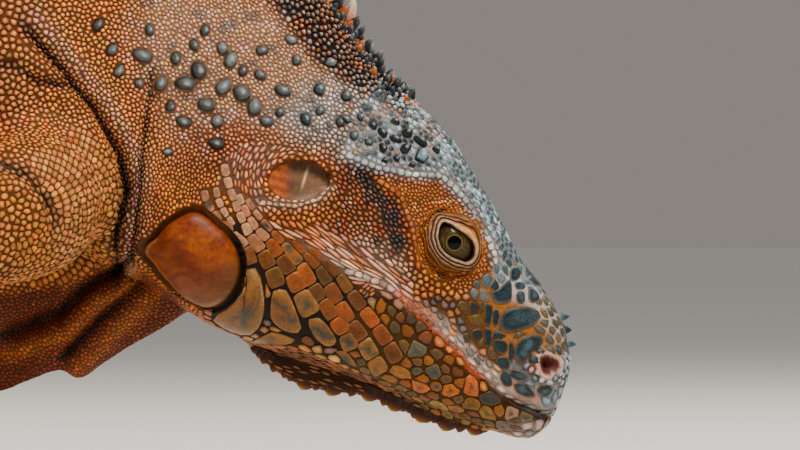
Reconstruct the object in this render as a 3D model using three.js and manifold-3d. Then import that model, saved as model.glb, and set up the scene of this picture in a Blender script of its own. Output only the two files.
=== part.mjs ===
// An adult male green iguana at life size, standing on stretched forelimbs with its neck arched down.
// Millimetres, +X towards the snout, +Y to the animal's left, +Z up.
// The origin is the middle of the underside of the bounding box, on the floor.
import * as THREE from "three";
import { mergeVertices } from "three/addons/utils/BufferGeometryUtils.js";
import Module from "manifold-3d";

const wasm = await Module();
wasm.setup();

// ---------------------------------------------------------------- driving dimensions
const EYE_HEIGHT = 72;        // eye centre above the floor
const SNOUT = -47.6;          // distance along the spine line, 0 at the eye and growing to the tail
const NAPE = 61;              // where the head ends and the neck begins
const SHOULDER = 112;
const MIDBACK = 250;
const LOIN = 345;
const VENT = 424;
const TAIL_TIP = 1470;
const GAP = 0.3;              // left between two pieces that touch
const SOLE_SINK = 0.8;        // how far a rounded sole is pressed into the floor before it is cut flat
const SEED = 7;

// Spine line: rise towards the tail and turn to the left, in degrees, at distances along the body.
const RISE = [
  [SNOUT, 38], [57, 38], [140, 2], [200, -7], [300, -14], [400, -18], [470, -22], [570, -20], [660, -12],
];
const TURN = [[VENT, 0], [560, 12], [760, 58], [960, 84], [1150, 74], [1300, 45], [TAIL_TIP, 15]];

// Cross-sections: distance, top, underside, half width and level of the widest place, from the spine line.
const SECTIONS = [
  [SNOUT, -19.5, -25, 2.5, -22], [-46, -13, -27.2, 6.6, -20], [-43, -5.5, -29, 9.6, -18],
  [-39, -1.2, -30.5, 11.5, -17], [-33, 3, -32.5, 13.2, -17], [-25, 5.8, -35, 14.8, -19],
  [-17, 7.8, -37.3, 16.6, -21], [-8, 12, -40.2, 19.2, -23], [0, 15.6, -42.8, 21.6, -26],
  [8, 18.4, -45.8, 24.2, -29], [16, 21.4, -48.6, 26.8, -32], [25, 22.6, -51.2, 29.4, -35],
  [33, 22.6, -53.2, 31.6, -38], [45, 24.6, -55, 33.4, -40], [NAPE, 30.6, -57, 32.6, -37],
  [72, 35, -59, 33, -33], [90, 40, -62, 37, -27], [SHOULDER, 44, -68, 42, -22], [140, 46, -73, 47, -20],
  [180, 47, -74, 51, -22], [230, 46, -72, 54, -26], [290, 43, -66, 54, -24], [LOIN, 38, -56, 46, -18],
  [380, 33.5, -47, 38, -13], [VENT, 28, -37, 30, -8], [470, 23.5, -28, 24, -4], [540, 19.5, -21, 18.6, -1],
  [620, 16.5, -16.5, 15, 0], [750, 12.8, -12.8, 11.6, 0], [900, 9.6, -9.6, 8.8, 0],
  [1100, 6.4, -6.4, 5.9, 0], [1300, 3.8, -3.8, 3.6, 0], [TAIL_TIP, 1.3, -1.3, 1.3, 0],
];
const SQUARENESS = [[SNOUT, 2.2], [-25, 2.4], [0, 2.2], [30, 2.1], [120, 2.1], [300, 2.2], [600, 2]];

// Marks on the head, as [distance forward of the eye, height above the eye], square to the spine line.
const EAR = [-39.6, -11];
const JAW_SHIELD = [-47.9, -43];
const NOSTRIL = [38.6, -8.8];
const MOUTH = [
  [56, -19], [45, -20], [34, -22.2], [26, -21.6], [12, -19.7], [-1, -18.9], [-9, -21], [-17, -32], [-24, -46],
  [-30, -64],
];
const EYEBALL_RADIUS = 7.6;

// ---------------------------------------------------------------- curves and random numbers
// A smooth curve through keys [x, y] that never swings past them.
function curve(keys, column = 1) {
  const x = keys.map((k) => k[0]);
  const y = keys.map((k) => k[column]);
  const slope = x.slice(1).map((_, i) => (y[i + 1] - y[i]) / (x[i + 1] - x[i]));
  const tangent = y.map((_, i) => {
    const before = slope[i - 1];
    const after = slope[i];
    if (before === undefined || after === undefined) return before ?? after;
    return before * after <= 0 ? 0 : (2 * before * after) / (before + after);
  });
  return (at) => {
    if (at <= x[0]) return y[0];
    if (at >= x[x.length - 1]) return y[y.length - 1];
    const i = x.findIndex((value, index) => at >= value && at < x[index + 1]);
    const width = x[i + 1] - x[i];
    const f = (at - x[i]) / width;
    return (
      y[i] * (1 + 2 * f) * (1 - f) ** 2 + width * tangent[i] * f * (1 - f) ** 2 +
      y[i + 1] * f * f * (3 - 2 * f) + width * tangent[i + 1] * f * f * (f - 1)
    );
  };
}

function randomNumbers(seed) {
  let state = seed;
  return () => {
    state = (state * 1664525 + 1013904223) % 4294967296;
    return state / 4294967296;
  };
}

const bell = (distance, spread) => Math.exp(-((distance / spread) ** 2));
const mix = (a, b, f) => a + (b - a) * f;
const clamp01 = (x) => Math.min(1, Math.max(0, x));
const radians = THREE.MathUtils.degToRad;
const vector = (x, y, z) => new THREE.Vector3(x, y, z);

// ---------------------------------------------------------------- spine line
const riseAt = curve(RISE);
const turnAt = curve(TURN);
const topAt = curve(SECTIONS, 1);
const undersideAt = curve(SECTIONS, 2);
const halfWidthAt = curve(SECTIONS, 3);
const levelAt = curve(SECTIONS, 4);
const squarenessAt = curve(SQUARENESS);
const PATH_STEP = 2;
const FLOOR_BLEND = 5;        // how softly the tail comes down to the floor
const path = layPath();

// Points every PATH_STEP behind the eye. Where the line would sink, the tail lies on its underside.
function layPath() {
  const points = [];
  const at = vector(0, 0, EYE_HEIGHT);
  for (let t = 0; t <= TAIL_TIP + PATH_STEP; t += PATH_STEP) {
    const resting = -undersideAt(t) - SOLE_SINK;
    const above = (at.z - resting) / FLOOR_BLEND;
    const height = resting + FLOOR_BLEND * Math.log(1 + Math.exp(Math.min(above, 30)));
    points.push(vector(at.x, at.y, above > 30 ? at.z : height));
    const rise = radians(riseAt(t));
    const turn = radians(turnAt(t));
    const level = Math.cos(rise) * PATH_STEP;
    at.add(vector(-level * Math.cos(turn), level * Math.sin(turn), Math.sin(rise) * PATH_STEP));
  }
  return points;
}

// Which way the spine line points, towards the head, at path point i.
function pathForward(i) {
  const near = path[Math.max(i - 1, 0)];
  const far = path[Math.min(i + 1, path.length - 1)];
  return near.clone().sub(far).normalize();
}

// The place and directions of the spine line at distance t: forward, left and up.
function spineFrame(t) {
  const i = Math.min(Math.max(t / PATH_STEP, 0), path.length - 1.001);
  const low = Math.floor(i);
  const point = path[low].clone().lerp(path[low + 1], i - low);
  const forward = pathForward(low).lerp(pathForward(low + 1), i - low).normalize();
  if (t < 0) point.addScaledVector(forward, -t);
  const left = vector(0, 0, 1).cross(forward).normalize();
  const up = forward.clone().cross(left);
  return { point, forward, left, up };
}

function spinePoint(t, side, height) {
  const frame = spineFrame(t);
  return frame.point.addScaledVector(frame.left, side).addScaledVector(frame.up, height);
}

const headPoint = (forward, side, height) => spinePoint(-forward, side, height);

// ---------------------------------------------------------------- body surface
// Swellings and hollows of the head and neck: forward, height, reach, depth.
const SWELLINGS = [
  [0, 0, 9, 2.2], [-20, -2, 8, -1.6], [20, -6, 7, -1.2], [NOSTRIL[0], NOSTRIL[1], 4, 1.6],
  [JAW_SHIELD[0], JAW_SHIELD[1], 13, 1.6], [-4, 11, 4.5, 1.3], [-12, 13, 4.5, 1.3], [-26, -26, 9, 1.5],
];

// How far the skin stands out from the plain section at distance t and height b.
function relief(t, b) {
  let out = 0;
  for (const [forward, height, reach, depth] of SWELLINGS) {
    out += depth * bell(Math.hypot(-t - forward, b - height), reach);
  }
  const shoulderFold = bell(t - mix(104, 84, clamp01((b + 50) / 90)), 4.5);
  return out - 2.2 * shoulderFold * clamp01((40 - b) / 20) * clamp01((b + 64) / 20);
}

// A point on the skin: angle 0 is the animal's left, a quarter turn is the back.
function skinPoint(t, angle, grow = 0) {
  const c = Math.cos(angle);
  const s = Math.sin(angle);
  const level = levelAt(t);
  const reach = s > 0 ? topAt(t) - level : level - undersideAt(t);
  const power = 2 / squarenessAt(t);
  const across = Math.sign(c) * Math.abs(c) ** power;
  const b = level + reach * Math.sign(s) * Math.abs(s) ** power;
  const out = grow + relief(t, b) * Math.abs(c) ** 0.5;
  const slant = Math.hypot(c, s * 0.999);
  return spinePoint(t, halfWidthAt(t) * across + (out * c) / slant, b + (out * s) / slant);
}

// Closed skin over rings of points that all have the same count, with flat ends.
function skinOver(rings) {
  const count = rings[0].length;
  const positions = [];
  const faces = [];
  for (const ring of rings) {
    for (const p of ring) positions.push(p.x, p.y, p.z);
  }
  for (let r = 0; r + 1 < rings.length; r += 1) {
    for (let k = 0; k < count; k += 1) {
      const a = r * count + k;
      const b = r * count + ((k + 1) % count);
      faces.push(a, b, b + count, a, b + count, a + count);
    }
  }
  const ends = [[rings[0], 0, true], [rings[rings.length - 1], (rings.length - 1) * count, false]];
  for (const [ring, base, flip] of ends) {
    const middle = ring.reduce((sum, p) => sum.add(p), vector(0, 0, 0)).divideScalar(count);
    const hub = positions.length / 3;
    positions.push(middle.x, middle.y, middle.z);
    for (let k = 0; k < count; k += 1) {
      const next = (k + 1) % count;
      if (flip) faces.push(hub, base + next, base + k);
      else faces.push(hub, base + k, base + next);
    }
  }
  const geometry = new THREE.BufferGeometry();
  geometry.setAttribute("position", new THREE.Float32BufferAttribute(positions, 3));
  geometry.setIndex(faces);
  return geometry;
}

// A length of the body between two distances, with rings about `spacing` apart and each end cut
// back by its own trim.
function bodyLength(from, to, spacing, around, { grow = 0, trimFrom = 0, trimTo = 0 } = {}) {
  const steps = Math.max(1, Math.round((to - from) / spacing));
  const rings = [];
  for (let i = 0; i <= steps; i += 1) {
    const t = mix(from, to, i / steps);
    const trim = (i === steps ? trimTo : 0) - (i === 0 ? trimFrom : 0);
    const shift = spineFrame(t).forward.multiplyScalar(trim);
    const ring = [];
    for (let k = 0; k < around; k += 1) {
      ring.push(skinPoint(t, (2 * Math.PI * (k + 0.5)) / around, grow).add(shift));
    }
    rings.push(ring);
  }
  return solidOf(skinOver(rings));
}

// ---------------------------------------------------------------- solids
function solidOf(geometry, matrix = new THREE.Matrix4()) {
  const bare = geometry.clone();
  bare.deleteAttribute("normal");
  bare.deleteAttribute("uv");
  bare.applyMatrix4(matrix);
  const merged = mergeVertices(bare, 1e-4);
  const made = new wasm.Manifold(
    new wasm.Mesh({
      numProp: 3,
      vertProperties: merged.attributes.position.array,
      triVerts: new Uint32Array(merged.index.array),
    }),
  );
  if (made.volume() >= 0) return made;
  const turned = new Uint32Array(merged.index.array);
  for (let i = 0; i < turned.length; i += 3) [turned[i + 1], turned[i + 2]] = [turned[i + 2], turned[i + 1]];
  return new wasm.Manifold(
    new wasm.Mesh({ numProp: 3, vertProperties: merged.attributes.position.array, triVerts: turned }),
  );
}

const join = (pieces) => pieces.reduce((sum, piece) => sum.add(piece));
const cut = (piece, tools) => tools.reduce((rest, tool) => rest.subtract(tool), piece);

// The largest closed surface of a solid, with any hollow that joining sealed filled in.
function largest(solid) {
  const bodies = solid.decompose().sort((a, b) => b.volume() - a.volume());
  return bodies[0];
}

function nodeOf(name, solid, material) {
  const whole = largest(solid).getMesh();
  const geometry = new THREE.BufferGeometry();
  const positions = new Float32Array(whole.numVert * 3);
  for (let i = 0; i < whole.numVert; i += 1) {
    positions.set(whole.vertProperties.subarray(i * whole.numProp, i * whole.numProp + 3), i * 3);
  }
  geometry.setAttribute("position", new THREE.BufferAttribute(positions, 3));
  geometry.setIndex(new THREE.BufferAttribute(whole.triVerts, 1));
  geometry.computeVertexNormals();
  const mesh = new THREE.Mesh(geometry, material);
  mesh.name = name;
  return mesh;
}

// A box below the floor, which trims soles and the tail's underside flat.
const underFloor = solidOf(
  new THREE.BoxGeometry(4000, 4000, 100),
  new THREE.Matrix4().makeTranslation(0, 0, -50),
);

// A matrix whose local Z points along `axis` and whose X leans towards `lean`, at `place`.
function facing(place, axis, lean, sizes = [1, 1, 1]) {
  const z = axis.clone().normalize();
  const x = lean.clone().addScaledVector(z, -lean.dot(z)).normalize();
  const y = z.clone().cross(x);
  const scaled = [x, y, z].map((direction, i) => direction.multiplyScalar(sizes[i]));
  return new THREE.Matrix4().makeBasis(...scaled).setPosition(place);
}

// A flattened, slightly hooked spine that leans from `root` along `axis` towards `lean`.
function spine(root, axis, lean, length, width, thickness) {
  const side = axis.clone().cross(lean).normalize();
  const fore = side.clone().cross(axis).normalize();
  const sunk = Math.min(2.5, 0.6 * width + 1);
  const heights = [[-sunk, 1], [length * 0.6, 0.62]];
  const rings = heights.map(([height, share]) => {
    const hook = 0.22 * length * (Math.max(height, 0) / length) ** 2;
    const middle = root.clone().addScaledVector(axis, height).addScaledVector(lean, hook);
    return [[1, 0], [0, 1], [-1, 0], [0, -1]].map(([f, s]) =>
      middle.clone()
        .addScaledVector(fore, (f * share * width) / 2)
        .addScaledVector(side, (s * share * thickness) / 2));
  });
  const positions = rings.flat();
  const tip = root.clone().addScaledVector(axis, length).addScaledVector(lean, 0.25 * length);
  positions.push(tip);
  const faces = [[0, 2, 1], [0, 3, 2]];
  for (let k = 0; k < 4; k += 1) {
    const next = (k + 1) % 4;
    faces.push([k, next, next + 4], [k, next + 4, k + 4], [k + 4, next + 4, 8]);
  }
  const geometry = new THREE.BufferGeometry();
  const numbers = positions.flatMap((p) => [p.x, p.y, p.z]);
  geometry.setAttribute("position", new THREE.Float32BufferAttribute(numbers, 3));
  geometry.setIndex(faces.flat());
  return solidOf(geometry);
}

// ---------------------------------------------------------------- crest
// Height of the spines and the space between them, at distances along the body.
const CREST_HEIGHT = [
  [32, 2.2], [40, 2.8], [48, 3.4], [53, 5], [60, 10], [68, 18], [84, 27], [110, 31], [170, 30], [240, 24],
  [340, 15], [VENT, 9], [560, 7], [760, 4.5], [900, 2.6],
];
const CREST_SPACING = [[32, 3.6], [48, 5], [60, 6.6], [180, 7.6], [340, 8.4], [VENT, 10], [900, 17]];
const CREST_WIDTH = [[1, 1.6], [6, 3.6], [12, 5.6], [30, 6.6]];   // width of a spine by its height
const CREST_LEAN = 0.16;      // towards the tail
const CREST_START = 33;
const CREST_END = 900;
const crestHeightAt = curve(CREST_HEIGHT);
const crestSpacingAt = curve(CREST_SPACING);
const crestWidthAt = curve(CREST_WIDTH);

// The spines rooted between two distances, each clear of both ends of its node.
function crestSpines(from, to) {
  const draw = randomNumbers(SEED);
  const spines = [];
  for (let t = CREST_START; t < CREST_END; t += crestSpacingAt(t)) {
    const height = crestHeightAt(t) * (0.88 + 0.24 * draw());
    const width = crestWidthAt(height);
    if (t - width / 2 < from + 0.3 || t + width / 2 > to - 0.3) continue;
    const frame = spineFrame(t);
    const back = frame.forward.clone().negate();
    const axis = frame.up.clone().addScaledVector(back, CREST_LEAN).normalize();
    spines.push(spine(spinePoint(t, 0, topAt(t)), axis, back, height, width, Math.max(1.2, width * 0.42)));
  }
  return spines;
}

// ---------------------------------------------------------------- head
const MATERIALS = {
  skin: new THREE.MeshStandardMaterial({ color: 0xb5642c, roughness: 0.55 }),
  headSkin: new THREE.MeshStandardMaterial({ color: 0x9c7a62, roughness: 0.5 }),
  belly: new THREE.MeshStandardMaterial({ color: 0xa85a26, roughness: 0.6 }),
  dewlap: new THREE.MeshStandardMaterial({ color: 0x7c3c17, roughness: 0.6 }),
  shield: new THREE.MeshStandardMaterial({ color: 0xb05512, roughness: 0.35 }),
  drum: new THREE.MeshStandardMaterial({ color: 0x84583f, roughness: 0.4 }),
  eye: new THREE.MeshStandardMaterial({ color: 0x5d5a34, roughness: 0.1 }),
};
const SIDES = [["right", -1], ["left", 1]];

// A squashed ball: radii along `lean`, across it and along `axis`, with its poles on `axis`.
function lens(place, axis, lean, radii, [segments, rows]) {
  const ball = new THREE.SphereGeometry(1, segments, rows).rotateX(Math.PI / 2);
  return solidOf(ball, facing(place, axis, lean, radii));
}

// A lens on one side of the head. `outward` leans its axis forward and up, `tilt` turns it, nose end up.
function headLens(mark, side, sideways, radii, outward, detail, tilt = 0) {
  const frame = spineFrame(0);
  const axis = frame.left.clone().multiplyScalar(side)
    .addScaledVector(frame.forward, outward[0])
    .addScaledVector(frame.up, outward[1]);
  const lean = frame.forward.clone().multiplyScalar(Math.cos(radians(tilt)))
    .addScaledVector(frame.up, Math.sin(radians(tilt)));
  return lens(headPoint(mark[0], side * sideways, mark[1]), axis, lean, radii, detail);
}

const EYE_SIDE = 14.6;        // eyeball centre from the middle plane
const EYE_OUT = [0.12, 0.1];  // which way an eye looks, beyond straight sideways
const EAR_OUT = [-0.2, 0.1];
const SHIELD_OUT = [-0.1, -0.12];
const NOSTRIL_OUT = [0.5, 0.25];
const eyeball = (side, grow) =>
  headLens([0, 0], side, EYE_SIDE, Array(3).fill(EYEBALL_RADIUS + grow), EYE_OUT, [14, 8]);
const lidSwelling = (side) => headLens([0, -0.2], side, EYE_SIDE, [10.4, 9.8, 9.2], EYE_OUT, [16, 8]);
const lidOpening = (side) => headLens([0.6, 0.4], side, EYE_SIDE + 8.2, [6.6, 4.6, 5], EYE_OUT, [12, 5], -18);
const earCup = (side, grow) =>
  headLens(EAR, side, 29.2, [8 + grow, 5.6 + grow, 4 + grow], EAR_OUT, [14, 5], 25);
const earOutside = (side) => headLens(EAR, side, 31.4, [12, 9, 4.6], EAR_OUT, [14, 5], 25);
// Radius of the jaw shield by direction, in degrees up from straight ahead along the head.
const SHIELD_OUTLINE = [
  [-45, 12.5], [0, 12.3], [38, 11.4], [90, 10.5], [129, 12.2], [152, 11.3], [184, 11], [208, 13.2],
  [226, 10.8], [257, 9.6], [285, 10.9], [315, 12.5], [360, 12.3],
];
const SHIELD_THICK = 3.6;
const shieldRadiusAt = curve(SHIELD_OUTLINE);

function jawShield(side, grow) {
  const ball = new THREE.SphereGeometry(1, 20, 5).rotateX(Math.PI / 2);
  const spots = ball.attributes.position;
  for (let i = 0; i < spots.count; i += 1) {
    const [x, y] = [spots.getX(i), spots.getY(i)];
    const angle = (Math.atan2(-side * y, x) * 180) / Math.PI;
    const radius = shieldRadiusAt(angle < -45 ? angle + 360 : angle) + grow;
    spots.setXYZ(i, x * radius, y * radius, spots.getZ(i) * (SHIELD_THICK + grow));
  }
  const frame = spineFrame(0);
  const axis = frame.left.clone().multiplyScalar(side)
    .addScaledVector(frame.forward, SHIELD_OUT[0])
    .addScaledVector(frame.up, SHIELD_OUT[1]);
  return solidOf(ball, facing(headPoint(JAW_SHIELD[0], side * 33.2, JAW_SHIELD[1]), axis, frame.forward));
}
const nostril = (side) => headLens(NOSTRIL, side, 11.8, [2.5, 2, 3.4], NOSTRIL_OUT, [8, 4]);
const nostrilRim = (side) => headLens(NOSTRIL, side, 9.2, [4.6, 4.2, 3.4], NOSTRIL_OUT, [10, 5]);

// A thin slab along the line of the mouth and on down behind the jaw, which parts the jaw from the head.
function mouthSlit() {
  const half = GAP * 0.9;
  const line = MOUTH.map(([x, y]) => new THREE.Vector2(x, y));
  const offset = (i, sign) => {
    const before = line[Math.max(i - 1, 0)];
    const after = line[Math.min(i + 1, line.length - 1)];
    const along = after.clone().sub(before).normalize();
    return line[i].clone().add(new THREE.Vector2(-along.y, along.x).multiplyScalar(sign * half));
  };
  const outline = [...line.map((_, i) => offset(i, 1)), ...line.map((_, i) => offset(i, -1)).reverse()];
  const slab = new THREE.ExtrudeGeometry(new THREE.Shape(outline), { depth: 120, bevelEnabled: false });
  const frame = spineFrame(0);
  const right = frame.left.clone().negate();
  const matrix = new THREE.Matrix4().makeBasis(frame.forward, frame.up, right)
    .setPosition(headPoint(0, 60, 0));
  return solidOf(slab, matrix);
}

// ---------------------------------------------------------------- raised scales
// Bumps on the neck: forward of the eye, height above it, across, in level and upright directions.
const NECK_BUMPS = [
  [-83, 45, 5.4], [-72, 40, 5], [-65, 42, 5.4], [-70, 33, 5], [-60, 32, 5.2], [-57, 40, 5], [-51, 36, 4.6],
  [-46, 43, 5.4], [-42, 37, 5.4], [-33, 38, 4.2], [-57, 25, 4.2], [-76, 48, 5],
];
// Domes on the crown: forward of the eye along the head, height above it, across.
const CROWN_BUMPS = [[-23, 17.5, 3.8], [-16, 18, 3.4], [-12, 15, 3.2]];
// Plates along the jaw: forward of the eye, height, length and depth; they shrink towards the chin.
const JAW_PLATES = [
  [-30.6, -44, 8.5, 14], [-30.4, -32, 5.4, 8], [-21.4, -38, 8, 11], [-21, -47.5, 8.6, 5],
  [-11.2, -37.3, 7, 8.4], [-2.6, -36, 6.4, 8], [6.6, -34, 6, 7.4], [15, -32, 5.4, 6.6], [23, -30, 5, 6],
  [31, -27.6, 4.4, 5],
];
const SNOUT_HORNS = [[33.5, 2.2], [36.4, 0.6], [39, -1.8]];
const SCALE_RISE = 1.5;       // half thickness of a raised scale
const SCALE_SINK = 0.45;      // how far its middle is under the skin, as a share of that

// A place on the skin at distance t and height b on one side, with the way ahead and the way out.
function skinPatch(t, b, side) {
  const level = levelAt(t);
  const reach = b > level ? topAt(t) - level : level - undersideAt(t);
  const share = clamp01(Math.abs(b - level) / reach);
  const rise = Math.asin(share ** (squarenessAt(t) / 2)) * Math.sign(b - level);
  const angle = side > 0 ? rise : Math.PI - rise;
  const place = skinPoint(t, angle);
  const ahead = skinPoint(t - 1, angle).sub(place);
  const up = skinPoint(t, angle + side * 0.03).sub(place);
  const out = up.cross(ahead).multiplyScalar(side).normalize();
  return { place, ahead, out };
}

function raisedScale({ place, ahead, out }, length, depth, rise) {
  const middle = place.clone().addScaledVector(out, -SCALE_SINK * rise);
  return lens(middle, out, ahead, [length / 2, depth / 2, rise], [6, 3]);
}

// Distance along the spine line and height over it of a mark seen from the side.
function alongBody(forward, height) {
  const mark = vector(forward, 0, EYE_HEIGHT + height);
  let best = { miss: Infinity };
  for (let t = 0; t < 140; t += 0.5) {
    const frame = spineFrame(t);
    const offset = mark.clone().sub(frame.point);
    const miss = Math.abs(offset.dot(frame.forward));
    if (miss < best.miss) best = { miss, t, b: offset.dot(frame.up) };
  }
  return best;
}

function neckBumps(from, to) {
  return NECK_BUMPS.flatMap(([forward, height, across]) => {
    const { t, b } = alongBody(forward, height);
    if (t - across / 2 < from || t + across / 2 > to) return [];
    return SIDES.map(([, side]) => raisedScale(skinPatch(t, b, side), across, across, across * 0.42));
  });
}

function headScales() {
  const scales = [];
  for (const [, side] of SIDES) {
    for (const [forward, height, across] of CROWN_BUMPS) {
      scales.push(raisedScale(skinPatch(-forward, height, side), across, across, across * 0.45));
    }
    for (const [forward, height, length, depth] of JAW_PLATES) {
      scales.push(raisedScale(skinPatch(-forward, height, side), length, depth, SCALE_RISE));
    }
    for (const [forward, height] of SNOUT_HORNS) {
      const { place, ahead, out } = skinPatch(-forward, height, side);
      scales.push(spine(place, out, ahead.normalize(), 1.8, 2, 2));
    }
  }
  return scales;
}

function buildHead() {
  const base = bodyLength(SNOUT, NAPE, 4.5, 28, { trimTo: GAP / 2 });
  const raised = SIDES.flatMap(([, side]) => [lidSwelling(side), nostrilRim(side)]);
  const hollows = SIDES.flatMap(([, side]) => [
    eyeball(side, GAP), lidOpening(side), earCup(side, 0), jawShield(side, GAP), nostril(side),
  ]);
  const scales = [...headScales(), ...neckBumps(SNOUT, NAPE), ...crestSpines(SNOUT, NAPE)];
  const whole = cut(join([base, ...raised, ...scales]), [...hollows, mouthSlit()]);
  const [skull, jaw] = whole.decompose().sort((a, b) => b.volume() - a.volume());
  const nodes = [nodeOf("head", skull, MATERIALS.headSkin), nodeOf("lower_jaw", jaw, MATERIALS.skin)];
  for (const [name, side] of SIDES) {
    const drum = cut(earCup(side, -GAP), [earOutside(side)]);
    nodes.push(nodeOf(`eye_${name}`, eyeball(side, 0), MATERIALS.eye));
    nodes.push(nodeOf(`ear_drum_${name}`, drum, MATERIALS.drum));
    nodes.push(nodeOf(`jaw_shield_${name}`, jawShield(side, 0), MATERIALS.shield));
  }
  return nodes;
}

// ---------------------------------------------------------------- neck, trunk and tail
// Name, from, to, ring spacing, corners around, material.
const TRUNK = [
  ["neck", NAPE, SHOULDER, 6.4, 28, MATERIALS.skin],
  ["chest", SHOULDER, MIDBACK, 14, 28, MATERIALS.skin],
  ["belly", MIDBACK, LOIN, 16, 26, MATERIALS.belly],
  ["hips", LOIN, VENT, 14, 24, MATERIALS.skin],
  ["tail_1", VENT, 540, 17, 18, MATERIALS.skin],
  ["tail_2", 540, 650, 20, 14, MATERIALS.skin],
  ["tail_3", 650, 760, 22, 12, MATERIALS.skin],
  ["tail_4", 760, 880, 25, 12, MATERIALS.skin],
  ["tail_5", 880, 1010, 27, 10, MATERIALS.skin],
  ["tail_6", 1010, 1150, 30, 8, MATERIALS.skin],
  ["tail_7", 1150, 1300, 32, 8, MATERIALS.skin],
  ["tail_8", 1300, TAIL_TIP, 35, 7, MATERIALS.skin],
];

function buildTrunk() {
  return TRUNK.map(([name, from, to, spacing, around, material]) => {
    const trimTo = to === TAIL_TIP ? 0 : GAP / 2;
    const length = bodyLength(from, to, spacing, around, { trimFrom: GAP / 2, trimTo });
    const raised = [...crestSpines(from, to), ...neckBumps(from, to)];
    return nodeOf(name, cut(join([length, ...raised]), [underFloor]), material);
  });
}

// The head and trunk grown by the gap, to cut whatever grows from them.
const GROWN = { grow: GAP * 2.5, trimFrom: -GAP, trimTo: -GAP };
const grownBody = [["head", SNOUT, NAPE, 4.5, 28], ...TRUNK.slice(0, 5)]
  .map(([, from, to, spacing, around]) => bodyLength(from, to, spacing, around, GROWN));
const clearOfBody = (solid) => cut(solid, grownBody);

// ---------------------------------------------------------------- legs
// Stops from inside the body outwards: forward, out from the middle, up, radius across and radius deep.
const FORELEG = [
  [-98, 20, 92, 20, 22], [-105, 41, 83, 17, 20], [-124, 61, 74, 12.5, 15], [-147, 78, 66, 11, 12.5],
  [-146, 87, 48, 10.5, 12], [-134, 92, 29, 8.5, 9], [-124, 95, 15, 8.5, 7], [-115, 97, 8, 10.5, 6.2],
  [-105, 99, 5, 9, 4.2],
];
const HINDLEG = [
  [-376, 14, 82, 22, 26], [-366, 38, 80, 20, 24], [-348, 70, 80, 17, 20], [-329, 100, 76, 13, 15],
  [-341, 112, 58, 13, 14], [-362, 120, 36, 10, 10], [-378, 126, 17, 9, 8], [-370, 132, 8.5, 10, 6.4],
  [-352, 139, 5, 9.5, 4.2],
];
// Which way each toe points, in degrees outward from straight ahead, and its length.
const FINGERS = [[-50, 16], [-22, 25], [3, 29], [28, 29], [62, 20]];
const TOES = [[-28, 20], [-10, 34], [6, 48], [22, 60], [60, 34]];
const LEFT_STRIDES = { foreleg: -12, hindleg: -16 };   // how far ahead of the right feet the left ones stand
const JOINT_STOPS = [3, 6];   // elbow and wrist, or knee and ankle
const CLAW = 9;

function legStops(table, side, stride) {
  return table.map(([x, y, z, across, deep], i) => {
    const share = i / (table.length - 1);
    return { at: vector(x + stride * share, side * y, z), across, deep };
  });
}

// The direction across a limb at a stop or part of one, carried along it without twisting.
function limbBroad(line, key, last) {
  const broad = vector(0, 0, 1).cross(line.getTangent(0)).normalize();
  for (let at = 0; at < key; at += 0.1) {
    const along = line.getTangent(at / last);
    broad.addScaledVector(along, -broad.dot(along)).normalize();
  }
  const along = line.getTangent(key / last);
  return broad.addScaledVector(along, -broad.dot(along)).normalize();
}

// Rings across a limb between two of its stops, with the end rings trimmed by half the gap.
function limbLength(stops, from, to, steps, sides, grow = 0) {
  const last = stops.length - 1;
  const line = new THREE.CatmullRomCurve3(stops.map((s) => s.at), false, "centripetal");
  const across = curve(stops.map((s, i) => [i, s.across]));
  const deep = curve(stops.map((s, i) => [i, s.deep]));
  const rings = [];
  for (let i = 0; i <= steps; i += 1) {
    const key = mix(from, to, i / steps);
    const along = line.getTangent(key / last);
    const broad = limbBroad(line, key, last);
    const depth = along.clone().cross(broad);
    const trim = (i === 0 && from > 0 ? GAP / 2 : 0) - (i === steps && to < last ? GAP / 2 : 0);
    const middle = line.getPoint(key / last).addScaledVector(along, trim);
    rings.push(Array.from({ length: sides }, (_, k) => {
      const angle = (2 * Math.PI * (k + 0.5)) / sides;
      return middle.clone()
        .addScaledVector(broad, (across(key) + grow) * Math.cos(angle))
        .addScaledVector(depth, (deep(key) + grow) * Math.sin(angle));
    }));
  }
  return solidOf(skinOver(rings));
}

// One toe with its claw: it arches from the sole, rests on the floor and ends in a hooked point.
function toe(root, heading, length, thick) {
  const ahead = vector(Math.cos(heading), Math.sin(heading), 0);
  const stops = [
    [-5, 4.6, 1, 0.9], [length * 0.35, 5.6, 0.95, 0.95], [length * 0.7, 3.4, 0.85, 0.8],
    [length, 2.6, 0.7, 0.85], [length + CLAW * 0.5, 3.9, 0.3, 0.45], [length + CLAW, 0.9, 0.09, 0.09],
  ].map(([reach, height, across, deep]) => ({
    at: root.clone().addScaledVector(ahead, reach).setZ(height), across: thick * across, deep: thick * deep,
  }));
  return limbLength(stops, 0, stops.length - 1, stops.length - 1, 5);
}

function buildLeg(name, table, digits, side, stride) {
  const stops = legStops(table, side, stride);
  const [bend, ankle] = JOINT_STOPS;
  const last = stops.length - 1;
  const upper = clearOfBody(limbLength(stops, 0, bend, 7, 14));
  const lower = cut(limbLength(stops, bend, ankle, 8, 12), [limbLength(stops, 0, bend, 7, 14, GAP)]);
  const grownLower = limbLength(stops, bend, ankle, 8, 12, GAP);
  const root = stops[last].at.clone().addScaledVector(vector(1, 0, 0), -3);
  const toes = digits.map(([heading, length], i) => {
    const spread = root.clone().add(vector(0, side * (i - 2) * 3.4, 0));
    return toe(spread, side * radians(heading), length, 3.4);
  });
  const foot = cut(join([limbLength(stops, ankle, last, 3, 10), ...toes]), [underFloor, grownLower]);
  return [
    nodeOf(`${name}_upper`, upper, MATERIALS.skin),
    nodeOf(`${name}_lower`, lower, MATERIALS.skin),
    nodeOf(`${name}_foot`, foot, MATERIALS.skin),
  ];
}

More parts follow.
